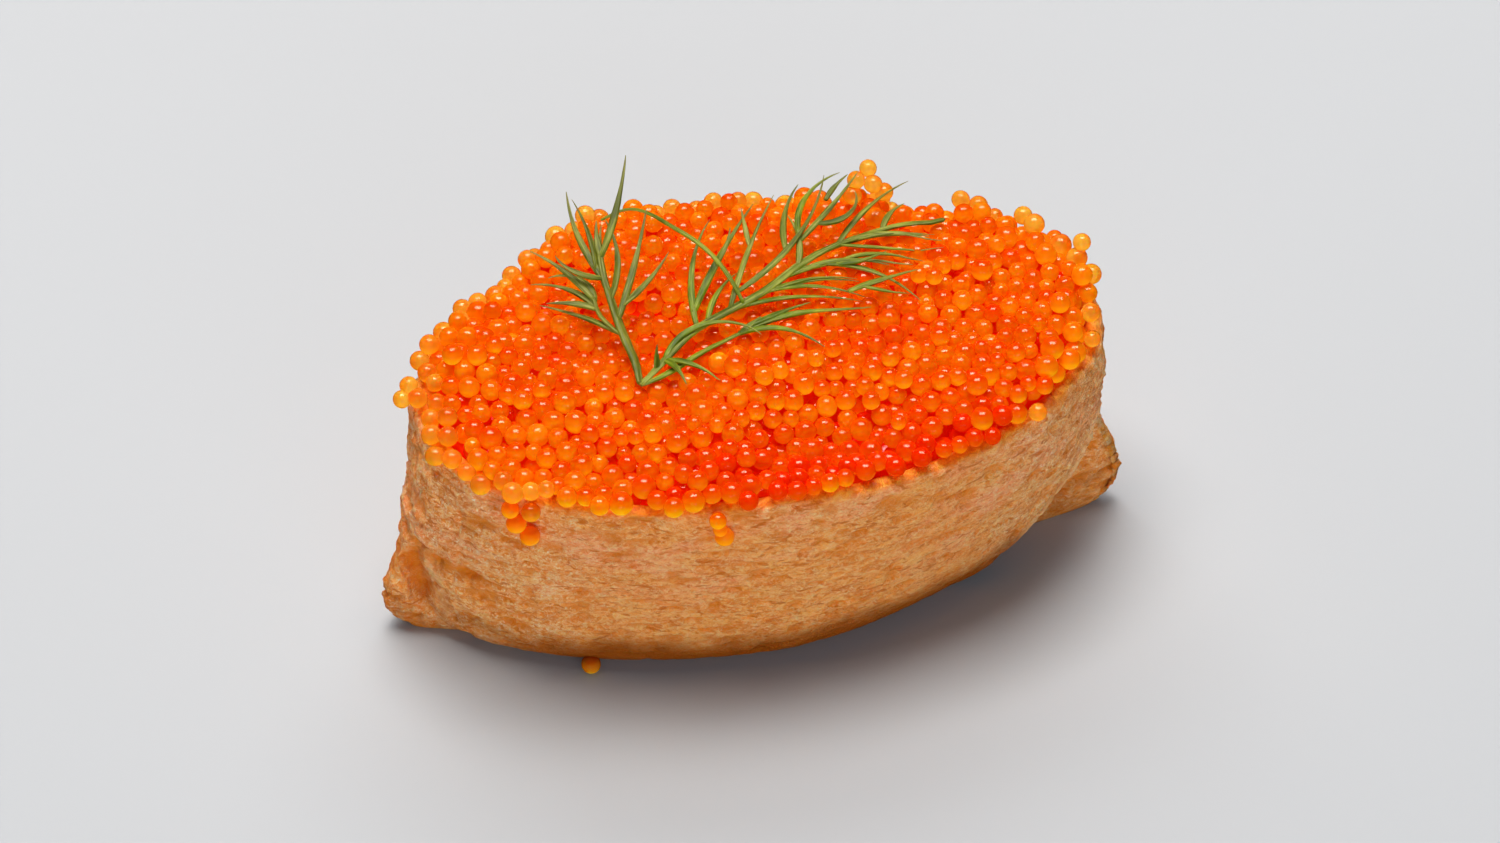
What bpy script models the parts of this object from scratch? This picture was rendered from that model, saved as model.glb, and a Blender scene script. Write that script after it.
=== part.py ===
"""Tobiko inari sushi: a seasoned fried-tofu pouch, boat shaped with a pinched
corner at each end, filled to above its rim with flying-fish roe, and a sprig
of dill lying on the roe.

Run with:  blender --background --python part.py
Metres, +Z up.  +X runs along the pouch towards its right-hand corner, -Y is
the side that faces the viewer, and the pouch stands on z = 0.
"""

import math

import bmesh
import bpy
from mathutils import Vector

MM = 0.001

# ---------------------------------------------------------------- sizes, in mm
# Fried tofu pouch
CORNER_LEFT = 36.0          # tip of the left pinched corner, from the middle
CORNER_RIGHT = 36.0         # tip of the right pinched corner
RIM_NEAR, RIM_END, RIM_FAR = 23.2, 24.6, 24.4   # height of the rim
# half lengths and half widths at the foot, half way up and at the rim
LEFT = (31.4, 32.9, 31.4)
RIGHT = (28.8, 33.0, 33.4)
NEAR = (13.5, 15.7, 16.9)
FAR = (15.0, 18.9, 21.5)
END_LINE = (0.0, 0.4, 1.2)  # how far the line of the two ends leans back
ROUND_LEFT = (1.66, 1.90, 2.06)   # 2 is an ellipse, less is more pointed
ROUND_RIGHT = (1.52, 1.68, 1.82)
FULLER_FAR = 0.3            # added on the far side, towards the right end
FOOT_RADIUS = 2.8           # rounding where the wall turns under
WALL = 1.9                  # thickness of the fried skin
FLOOR = 2.4                 # thickness under the filling
AROUND = 88                 # facets round the pouch, closer at its ends

# Pinched corners: the skin stands out as a thin fin above the foot
FIN_LEFT = dict(y=-0.2, thick=3.3, low=3.4, top=22.0)
FIN_RIGHT = dict(y=1.1, thick=3.6, low=3.9, top=12.6)

# Roe
GAP = 0.3                   # clearance between touching pieces
MOUND = 3.9                 # height of the middle of the heap above the rim
EDGE_LEFT, EDGE_FAR, EDGE_RIGHT, EDGE_NEAR = 2.4, 3.6, 3.5, 1.4  # and of its edge
SPILL_LEFT, SPILL_FAR, SPILL_RIGHT, SPILL_NEAR = 2.8, 2.3, 2.5, 2.0  # over the rim
ROE_AROUND = 76

# Dill
STEM_RADIUS = 0.55
LEAF_RADIUS = 0.36
LEAF_SIDES = 6


# ------------------------------------------------------------- small functions
def through(values, t):
    """Smooth curve through three values at t = 0, 0.5 and 1."""
    low, mid, high = values
    return (low * (1 - t) * (1 - 2 * t) + mid * 4 * t * (1 - t)
            + high * t * (2 * t - 1))


def blend(a, b, t):
    t = min(1.0, max(0.0, t))
    t = t * t * (3 - 2 * t)
    return a + (b - a) * t


def bell(x, middle, width):
    return math.exp(-((x - middle) / width) ** 2)


def power(value, exponent):
    return math.copysign(abs(value) ** exponent, value)


# ------------------------------------------------------------------- the pouch
def rim_height(angle):
    side = math.sin(angle)
    height = blend(RIM_END, RIM_FAR if side > 0 else RIM_NEAR, abs(side))
    return height + 0.25 * math.sin(3 * angle + 0.6) + 0.15 * math.sin(7 * angle)


def outline(angle, t, inset=0.0):
    """Point of the pouch's plan at share t of its height, in mm."""
    c, s = math.cos(angle), math.sin(angle)
    roundness = blend(through(ROUND_LEFT, t), through(ROUND_RIGHT, t),
                      0.5 + 0.5 * c)
    roundness += FULLER_FAR * t * max(0.0, s) * (0.5 + 0.5 * c)
    reach = through(RIGHT if c > 0 else LEFT, t) - inset
    side = through(FAR, t) if s > 0 else through(NEAR, t)
    line = through(END_LINE, t)
    side = side - line - inset if s > 0 else side + line - inset
    x = reach * power(c, 2 / roundness)
    y = line + side * power(s, 2 / roundness)
    return x, y


def fin_reach(fin, tip, z):
    """How far out a pinched corner reaches at height z."""
    low, top = fin["low"], fin["top"]
    if z < low:
        return tip - 2.6 * ((low - z) / low) ** 2.2
    return tip - 2.9 * ((z - low) / (top - low)) ** 1.5


def with_corners(x, y, z):
    """Pulls a point of the outer wall out into the pinched corner near it."""
    for fin, tip, way in ((FIN_LEFT, CORNER_LEFT, -1), (FIN_RIGHT, CORNER_RIGHT, 1)):
        if x * way < 20 or z > fin["top"]:
            continue
        thick = fin["thick"] * (1 - 0.5 * z / fin["top"])
        across = abs(y - fin["y"]) / thick
        if across < 1:
            out = fin_reach(fin, tip, z) - x * way
            x += way * max(0.0, out) * (0.5 + 0.5 * math.cos(math.pi * across))
        # the skin dips in beside the fin
        x -= way * 0.7 * bell(across, 1.3, 0.45) * bell(z, 0.5 * fin["top"], 4.2)
    return x, y


def turn(k, count):
    """Angle of facet k, with the facets closer together at the two ends."""
    angle = 2 * math.pi * k / count
    return angle - 0.36 * math.sin(2 * angle)


def wall_ring(bm, t_of, inset_of, corners=True):
    ring = []
    for k in range(AROUND):
        angle = turn(k, AROUND)
        height = rim_height(angle)
        z = t_of(height)
        t = min(1.0, max(0.0, z / height))
        x, y = outline(angle, t, inset_of(z))
        if corners:
            x, y = with_corners(x, y, z)
        ring.append(bm.verts.new((x * MM, y * MM, z * MM)))
    return ring


def bridge(bm, lower, upper):
    n = len(lower)
    for k in range(n):
        bm.faces.new((lower[k], lower[(k + 1) % n], upper[(k + 1) % n], upper[k]))


def close_ring(bm, ring, z, up):
    centre = bm.verts.new((sum(v.co.x for v in ring) / len(ring),
                           sum(v.co.y for v in ring) / len(ring), z * MM))
    n = len(ring)
    for k in range(n):
        pair = (ring[k], ring[(k + 1) % n]) if up else (ring[(k + 1) % n], ring[k])
        bm.faces.new((*pair, centre))


def foot_inset(z):
    """The wall turns under on a quarter round."""
    if z >= FOOT_RADIUS:
        return 0.0
    return FOOT_RADIUS - math.sqrt(FOOT_RADIUS ** 2 - (FOOT_RADIUS - z) ** 2)


def make_pouch():
    bm = bmesh.new()
    rings = []
    # underside, flat on the table
    rings.append(wall_ring(bm, lambda h: 0.0, lambda z: 8.0, corners=False))
    # rounded foot and the outer wall
    for z in (0.0, 0.35, 1.1):
        rings.append(wall_ring(bm, lambda h, z=z: z, foot_inset))
    for share in (0.115, 0.18, 0.26, 0.34, 0.43, 0.53, 0.64, 0.76, 0.88):
        rings.append(wall_ring(bm, lambda h, s=share: s * (h - WALL / 2), foot_inset))
    # rim, a half round
    for step in range(5):
        over = math.pi * step / 4
        inset = WALL / 2 * (1 - math.cos(over))
        rings.append(wall_ring(
            bm, lambda h, a=over: h - WALL / 2 + WALL / 2 * math.sin(a),
            lambda z, i=inset: i, corners=False))
    # inner wall down to the floor
    for share in (0.7, 0.45, 0.25):
        rings.append(wall_ring(
            bm, lambda h, s=share: FLOOR + s * (h - WALL / 2 - FLOOR),
            lambda z: WALL + 0.6 * bell(z, 6, 8), corners=False))
    rings.append(wall_ring(bm, lambda h: FLOOR, lambda z: WALL + 3.4,
                           corners=False))
    for lower, upper in zip(rings, rings[1:]):
        bridge(bm, lower, upper)
    close_ring(bm, rings[0], 0.0, up=False)
    close_ring(bm, rings[-1], FLOOR, up=True)
    return bm


# --------------------------------------------------------------------- the roe
def round_about(angle, left, far, right, near):
    """Value at an angle, from the values at the four sides."""
    c, s = math.cos(angle), math.sin(angle)
    return ((right if c > 0 else left) * c * c
            + (far if s > 0 else near) * s * s)


def spill(angle):
    """How far the heap reaches out over the rim; below 0 it falls short.
    It does so along the near rim, right of the middle."""
    reach = round_about(angle, SPILL_LEFT, SPILL_FAR, SPILL_RIGHT, SPILL_NEAR)
    return reach - 2.6 * bell(math.degrees(angle), 296, 24)


def heap_height(x, y, share):
    """Humps and hollows of the top of the heap."""
    height = 0.40 * math.sin(x / 4.1 + 0.7) * math.cos(y / 3.3 + 0.4)
    height += 0.28 * math.sin(x / 2.3 - y / 2.9 + 1.1)
    height -= 1.3 * bell(x, 5, 8) * bell(y, -10, 4)        # hollow by the near rim
    height -= 0.8 * bell(x, -10, 5) * bell(y, 2, 4)        # where the dill lies
    height += 2.7 * bell(x, 16, 2.6) * bell(y, 18.6, 2.6)  # clump on the far rim
    return height * (1 if share < 0.9 else 0.7)


def make_roe():
    bm = bmesh.new()

    def ring(z_of, reach_of):
        made = []
        for k in range(ROE_AROUND):
            angle = turn(k, ROE_AROUND)
            height = rim_height(angle)
            z = z_of(angle, height)
            x, y = outline(angle, min(1.0, max(0.0, z / height)),
                           reach_of(angle, z))
            made.append(bm.verts.new((x * MM, y * MM, z * MM)))
        return made

    inner = WALL + GAP

    def shelf(angle, height):
        """Height at which the heap leaves the pouch's inner wall."""
        return height + GAP + 1.6 * min(0.0, spill(angle))

    def edge(angle):
        return inner - max(0.0, spill(angle))

    def crest(angle, height):
        return shelf(angle, height) + round_about(
            angle, EDGE_LEFT, EDGE_FAR, EDGE_RIGHT, EDGE_NEAR)

    rings = [ring(lambda a, h: FLOOR + GAP, lambda a, z: inner + 10.0)]
    rings.append(ring(lambda a, h: FLOOR + GAP, lambda a, z: inner + 3.4))
    for share in (0.25, 0.45, 0.7, 0.93):
        rings.append(ring(
            lambda a, h, s=share: FLOOR + GAP + s * (
                shelf(a, h) - WALL / 2 - FLOOR - GAP),
            lambda a, z: inner + 0.7 * bell(z, 6, 8)))
    # out over the rim, and up round the edge of the heap
    rings.append(ring(shelf, lambda a, z: inner))
    rings.append(ring(lambda a, h: shelf(a, h) + 0.04,
                      lambda a, z: edge(a) + 0.5))
    rings.append(ring(lambda a, h: 0.72 * shelf(a, h) + 0.28 * crest(a, h),
                      lambda a, z: edge(a)))
    rings.append(ring(lambda a, h: 0.35 * shelf(a, h) + 0.65 * crest(a, h),
                      lambda a, z: edge(a) + 0.35))
    rings.append(ring(crest, lambda a, z: edge(a) + 1.5))
    # the top of the heap, ring by ring towards the middle
    steps = 9
    outer = [(v.co.x / MM, v.co.y / MM, v.co.z / MM) for v in rings[-1]]
    middle = (sum(p[0] for p in outer) / len(outer),
              sum(p[1] for p in outer) / len(outer))
    summit = RIM_FAR + MOUND
    for step in range(1, steps):
        share = 1 - step / steps
        made = []
        for x, y, z in outer:
            px = middle[0] + (x - middle[0]) * share
            py = middle[1] + (y - middle[1]) * share
            top = summit + (z - summit) * share ** 2 + heap_height(px, py, share)
            made.append(bm.verts.new((px * MM, py * MM, top * MM)))
        rings.append(made)
    for lower, upper in zip(rings, rings[1:]):
        bridge(bm, lower, upper)
    close_ring(bm, rings[0], FLOOR + GAP, up=False)
    close_ring(bm, rings[-1], summit + heap_height(*middle, 0.0), up=True)
    return bm


# -------------------------------------------------------------------- the dill
def leaf_path(start, heading, pitch, length, bend, lift, steps=5):
    """A leaflet leaves start at a heading, and curves sideways and up or down.
    Angles in degrees, lengths in mm."""
    points = [Vector(start)]
    for k in range(steps):
        t = (k + 0.5) / steps
        turn = math.radians(heading + bend * t)
        rise = math.radians(pitch + lift * t)
        step = Vector((math.cos(turn) * math.cos(rise),
                       math.sin(turn) * math.cos(rise), math.sin(rise)))
        points.append(points[-1] + step * (length / steps))
    return points


def tube(name, points, radius, tip):
    """A tapered, many-sided tube along the points, closed at both ends."""
    bm = bmesh.new()
    rings = []
    for k, point in enumerate(points):
        ahead = points[min(k + 1, len(points) - 1)] - points[max(k - 1, 0)]
        ahead.normalize()
        side = ahead.cross(Vector((0, 0, 1))).normalized()
        over = side.cross(ahead)
        share = k / (len(points) - 1)
        r = radius + (tip - radius) * share ** 1.6
        rings.append([bm.verts.new((point + (
            side * math.cos(2 * math.pi * j / LEAF_SIDES)
            + over * math.sin(2 * math.pi * j / LEAF_SIDES)) * r) * MM)
            for j in range(LEAF_SIDES)])
    for lower, upper in zip(rings, rings[1:]):
        bridge(bm, lower, upper)
    bm.faces.new(rings[0])
    bm.faces.new(rings[-1])
    bmesh.ops.recalc_face_normals(bm, faces=bm.faces)
    mesh = bpy.data.meshes.new(name)
    bm.to_mesh(mesh)
    bm.free()
    obj = bpy.data.objects.new(name, mesh)
    bpy.context.scene.collection.objects.link(obj)
    return obj


def frond(start, heading, pitch, length, bend, lift, pairs, spread, leaf, up):
    """A stem with pairs of leaflets, shorter towards its tip.
    Returns (points, radius at the foot) for the stem and each leaflet."""
    stem = leaf_path(start, heading, pitch, length, bend, lift, steps=8)
    made = [(stem, STEM_RADIUS)]
    for k in range(pairs):
        share = 0.22 + 0.68 * k / pairs
        at = share * (len(stem) - 1)
        low = int(at)
        foot = stem[low].lerp(stem[low + 1], at - low)
        along = stem[low + 1] - stem[low]
        course = math.degrees(math.atan2(along.y, along.x))
        for side in (-1, 1):
            made.append((leaf_path(
                foot, course + side * (spread - 9 * share),
                up + 7 * ((k + (side > 0)) % 3), leaf * (1.12 - 0.62 * share),
                -side * 22, -10 if k % 2 else 6, steps=4), LEAF_RADIUS))
    return made


def make_dill():
    """Two fronds leaving one cut stem: one climbs back over the far rim, the
    other lies along the roe towards the right."""
    foot = Vector((-11.0, -3.0, 28.3))
    parts = frond(foot, 96, 21, 20.5, -6, 8, 4, 46, 11.0, 16)
    parts += frond(foot, 37, 8, 35.0, -32, -10, 6, 38, 12.0, 5)
    pieces = [tube(f"leaflet_{k}", points, radius, 0.14)
              for k, (points, radius) in enumerate(parts)]
    body = pieces[0]
    for other in pieces[1:]:
        join = body.modifiers.new("join_" + other.name, "BOOLEAN")
        join.operation = "UNION"
        join.solver = "EXACT"
        join.object = other
        other.hide_render = True
        other.display_type = "WIRE"
    body.name = body.data.name = "dill_sprig"
    return body, pieces[1:]


# ----------------------------------------------------------------- the objects
def material(name, colour, roughness):
    made = bpy.data.materials.new(name)
    made.use_nodes = True
    shader = made.node_tree.nodes["Principled BSDF"]
    shader.inputs["Base Color"].default_value = (*colour, 1)
    shader.inputs["Roughness"].default_value = roughness
    shader.inputs["Metallic"].default_value = 0.0
    return made


def add(name, bm, surface):
    mesh = bpy.data.meshes.new(name)
    bmesh.ops.recalc_face_normals(bm, faces=bm.faces)
    bm.to_mesh(mesh)
    bm.free()
    mesh.shade_smooth()
    mesh.set_sharp_from_angle(angle=math.radians(40))
    mesh.materials.append(surface)
    obj = bpy.data.objects.new(name, mesh)
    bpy.context.scene.collection.objects.link(obj)
    return obj


def main():
    for obj in list(bpy.data.objects):
        bpy.data.objects.remove(obj)
    tofu = material("fried_tofu", (0.62, 0.34, 0.13), 0.6)
    roe = material("flying_fish_roe", (0.95, 0.20, 0.02), 0.15)
    dill = material("dill", (0.20, 0.33, 0.08), 0.5)

    whole = bpy.data.objects.new("inari", None)
    bpy.context.scene.collection.objects.link(whole)
    pouch_obj = add("tofu_pouch", make_pouch(), tofu)
    roe_obj = add("tobiko", make_roe(), roe)
    dill_obj, leaflets = make_dill()
    dill_obj.data.materials.append(dill)
    for obj in (pouch_obj, roe_obj, dill_obj, *leaflets):
        obj.parent = whole

    # the origin is under the middle of the whole, on the table
    bpy.context.view_layer.update()
    graph = bpy.context.evaluated_depsgraph_get()
    corners = [obj.matrix_world @ Vector(corner)
               for obj in (pouch_obj, roe_obj, dill_obj)
               for corner in obj.evaluated_get(graph).bound_box]
    whole.location = (
        -(min(c.x for c in corners) + max(c.x for c in corners)) / 2,
        -(min(c.y for c in corners) + max(c.y for c in corners)) / 2,
        -min(c.z for c in corners))


main()
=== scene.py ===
"""Looks for the tobiko inari sushi: the fried tofu pouch with its pitted, fibrous
skin, the heap of flying-fish roe egg by egg, and the sprig of dill.

Lengths below are in millimetres, in the design frame of the part: x along the
pouch, the origin on the table midway between the two pinched corners.
"""

import math

import bpy
import numpy as np
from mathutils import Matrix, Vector


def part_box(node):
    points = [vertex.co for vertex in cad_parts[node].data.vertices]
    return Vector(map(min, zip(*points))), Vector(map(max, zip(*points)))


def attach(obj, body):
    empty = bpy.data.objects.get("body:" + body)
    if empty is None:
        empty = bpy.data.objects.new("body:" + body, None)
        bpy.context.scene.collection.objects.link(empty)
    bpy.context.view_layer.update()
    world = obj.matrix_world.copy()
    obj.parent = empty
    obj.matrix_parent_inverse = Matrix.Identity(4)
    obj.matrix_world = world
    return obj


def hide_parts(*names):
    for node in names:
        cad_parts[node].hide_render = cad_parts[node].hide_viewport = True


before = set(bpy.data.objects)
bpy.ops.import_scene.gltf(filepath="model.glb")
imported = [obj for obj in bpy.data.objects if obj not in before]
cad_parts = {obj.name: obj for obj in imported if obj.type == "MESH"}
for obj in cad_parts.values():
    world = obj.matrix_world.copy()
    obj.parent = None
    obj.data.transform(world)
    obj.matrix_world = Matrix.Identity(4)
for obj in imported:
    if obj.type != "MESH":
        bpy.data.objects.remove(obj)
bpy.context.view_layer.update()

MM = 0.001
# the row frame's origin is under the middle of the box: the design frame's
# origin lies here in it
pouch_low, pouch_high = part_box("tofu_pouch")
SHIFT = np.array([pouch_low.x / MM + 36.0, pouch_low.y / MM + 16.85, 0.0])

rng = np.random.default_rng(20)

# ------------------------------------------------------------------ dimensions
RIM_NEAR, RIM_END, RIM_FAR = 23.2, 24.6, 24.4
LEFT = (31.4, 32.9, 31.4)
RIGHT = (28.8, 33.0, 33.4)
NEAR = (13.5, 15.7, 16.9)
FAR = (15.0, 18.9, 21.5)
END_LINE = (0.0, 0.4, 1.2)
ROUND_LEFT = (1.66, 1.90, 2.06)
ROUND_RIGHT = (1.52, 1.68, 1.82)
FULLER_FAR = 0.3
FOOT_RADIUS = 2.8
WALL = 1.9
CORNER_LEFT, CORNER_RIGHT = 36.0, 36.0
FIN_LEFT = dict(y=-0.2, thick=3.3, low=3.4, top=22.0, fold=7.2)
FIN_RIGHT = dict(y=1.1, thick=3.6, low=3.9, top=12.6, fold=6.6)
MOUND = 3.9
EDGE_LEFT, EDGE_FAR, EDGE_RIGHT, EDGE_NEAR = 2.6, 4.6, 4.2, 1.4
SPILL_LEFT, SPILL_FAR, SPILL_RIGHT, SPILL_NEAR = 1.9, 2.3, 1.6, 2.0


# ----------------------------------------------------------------------- noise
def lattice(ix, iy, iz, seed):
    """Random number from 0 to 1 for each lattice point."""
    h = (ix.astype(np.uint32) * np.uint32(374761393)
         + iy.astype(np.uint32) * np.uint32(668265263)
         + iz.astype(np.uint32) * np.uint32(2147483647)
         + np.uint32(seed) * np.uint32(3266489917))
    h = (h ^ (h >> np.uint32(13))) * np.uint32(1274126177)
    h = (h ^ (h >> np.uint32(16))) * np.uint32(2246822519)
    h = h ^ (h >> np.uint32(15))
    return h.astype(np.float64) / 4294967295.0


def noise(p, scale, seed):
    """Smooth noise from -1 to 1 at points p, with features of size scale."""
    q = np.asarray(p, float) / np.asarray(scale, float) + 1000.0
    i = np.floor(q).astype(np.int64)
    f = q - i
    f = f * f * f * (f * (f * 6 - 15) + 10)
    out = np.zeros(len(q))
    for dx in (0, 1):
        wx = f[:, 0] if dx else 1 - f[:, 0]
        for dy in (0, 1):
            wy = f[:, 1] if dy else 1 - f[:, 1]
            for dz in (0, 1):
                wz = f[:, 2] if dz else 1 - f[:, 2]
                out += wx * wy * wz * lattice(i[:, 0] + dx, i[:, 1] + dy,
                                              i[:, 2] + dz, seed)
    return out * 2 - 1


def fractal(p, scale, seed, octaves=3, gain=0.5):
    total, weight, norm = 0.0, 1.0, 0.0
    scale = np.asarray(scale, float)
    for k in range(octaves):
        total = total + weight * noise(p, scale / 2 ** k, seed + 17 * k)
        norm += weight
        weight *= gain
    return total / norm


def smooth(a, b, t):
    t = np.clip((t - a) / (b - a), 0, 1)
    return t * t * (3 - 2 * t)


def bell(x, middle, width):
    return np.exp(-((x - middle) / width) ** 2)


def power(value, exponent):
    return np.sign(value) * np.abs(value) ** exponent


# --------------------------------------------------------------- shape by rule
def through(values, t):
    low, mid, high = values
    return (low * (1 - t) * (1 - 2 * t) + mid * 4 * t * (1 - t)
            + high * t * (2 * t - 1))


def mixed(a, b, t):
    t = np.clip(t, 0, 1)
    t = t * t * (3 - 2 * t)
    return a + (b - a) * t


def rim_height(angle):
    side = np.sin(angle)
    height = mixed(RIM_END, np.where(side > 0, RIM_FAR, RIM_NEAR), np.abs(side))
    return height + 0.25 * np.sin(3 * angle + 0.6) + 0.15 * np.sin(7 * angle)


def outline(angle, t, inset=0.0):
    c, s = np.cos(angle), np.sin(angle)
    roundness = mixed(through(ROUND_LEFT, t), through(ROUND_RIGHT, t),
                      0.5 + 0.5 * c)
    roundness = roundness + FULLER_FAR * t * np.maximum(0, s) * (0.5 + 0.5 * c)
    reach = np.where(c > 0, through(RIGHT, t), through(LEFT, t)) - inset
    line = through(END_LINE, t)
    side = np.where(s > 0, through(FAR, t) - line, through(NEAR, t) + line) - inset
    return (reach * power(c, 2 / roundness),
            line + side * power(s, 2 / roundness))


def around(angle, left, far, right, near):
    c, s = np.cos(angle), np.sin(angle)
    return (np.where(c > 0, right, left) * c * c
            + np.where(s > 0, far, near) * s * s)


def spill(angle):
    angle = np.mod(angle, 2 * np.pi)
    reach = around(angle, SPILL_LEFT, SPILL_FAR, SPILL_RIGHT, SPILL_NEAR)
    degrees = np.degrees(angle)
    return (reach - 0.35 * bell(degrees, 296, 26) + 1.1 * bell(degrees, 214, 16)
            - 1.2 * bell(degrees, 136, 6)
            + 0.40 * np.sin(5.3 * angle + 1.0) * np.sin(2.2 * angle + 0.4))


# --------------------------------------------------------------- making meshes
def new_mesh(name, points, faces, material, smooth_shade=True, attributes=None):
    """points in mm, design frame; faces an (n, 3) or (n, 4) array."""
    mesh = bpy.data.meshes.new(name)
    points = (np.asarray(points, float) + SHIFT) * MM
    faces = np.asarray(faces, np.int32)
    n, k = faces.shape
    mesh.vertices.add(len(points))
    mesh.vertices.foreach_set("co", points.astype(np.float32).ravel())
    mesh.loops.add(n * k)
    mesh.loops.foreach_set("vertex_index", faces.ravel())
    mesh.polygons.add(n)
    mesh.polygons.foreach_set("loop_start", np.arange(0, n * k, k, dtype=np.int32))
    mesh.polygons.foreach_set("use_smooth", np.full(n, smooth_shade))
    mesh.update(calc_edges=True)
    for key, values in (attributes or {}).items():
        values = np.asarray(values, np.float32)
        if values.ndim == 2:
            layer = mesh.attributes.new(key, "FLOAT_VECTOR", "POINT")
            layer.data.foreach_set("vector", values.ravel())
        else:
            layer = mesh.attributes.new(key, "FLOAT", "POINT")
            layer.data.foreach_set("value", values)
    mesh.validate()
    mesh.materials.append(material)
    obj = bpy.data.objects.new(name, mesh)
    bpy.context.scene.collection.objects.link(obj)
    return obj


def grid_faces(rows, columns):
    """Quads of a grid that is closed along its columns."""
    r, c = np.meshgrid(np.arange(rows - 1), np.arange(columns), indexing="ij")
    n = (c + 1) % columns
    quads = np.stack([r * columns + c, r * columns + n,
                      (r + 1) * columns + n, (r + 1) * columns + c], -1)
    return quads.reshape(-1, 4)


class Nodes:
    """Short hand for building a material."""

    def __init__(self, name):
        self.material = bpy.data.materials.new(name)
        self.material.use_nodes = True
        self.tree = self.material.node_tree
        self.tree.nodes.clear()

    def node(self, kind, inputs=None, **settings):
        made = self.tree.nodes.new(kind)
        for key, value in settings.items():
            setattr(made, key, value)
        for key, value in (inputs or {}).items():
            socket = made.inputs[key]
            if isinstance(value, bpy.types.NodeSocket):
                self.tree.links.new(value, socket)
            else:
                socket.default_value = value
        return made

    def math(self, operation, a, b=0.0, clamp=False):
        made = self.node("ShaderNodeMath", {0: a, 1: b}, operation=operation)
        made.use_clamp = clamp
        return made.outputs[0]

    def ramp(self, factor, stops, interpolation="EASE"):
        made = self.node("ShaderNodeValToRGB", {0: factor})
        made.color_ramp.interpolation = interpolation
        elements = made.color_ramp.elements
        while len(elements) < len(stops):
            elements.new(0.5)
        for element, (at, colour) in zip(elements, stops):
            element.position = at
            element.color = (*colour, 1) if len(colour) == 3 else colour
        return made.outputs[0]

    def mix(self, factor, a, b, blend="MIX"):
        made = self.node("ShaderNodeMix", data_type="RGBA", blend_type=blend)
        for index, value in ((0, factor), (6, a), (7, b)):
            socket = made.inputs[index]
            if isinstance(value, bpy.types.NodeSocket):
                self.tree.links.new(value, socket)
            elif index == 0:
                socket.default_value = value
            else:
                socket.default_value = (*value, 1)
        return made.outputs[2]

    def attribute(self, name):
        return self.node("ShaderNodeAttribute", attribute_name=name).outputs["Fac"]

    def finish(self, shader):
        out = self.node("ShaderNodeOutputMaterial")
        self.tree.links.new(shader, out.inputs["Surface"])
        return self.material


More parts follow.
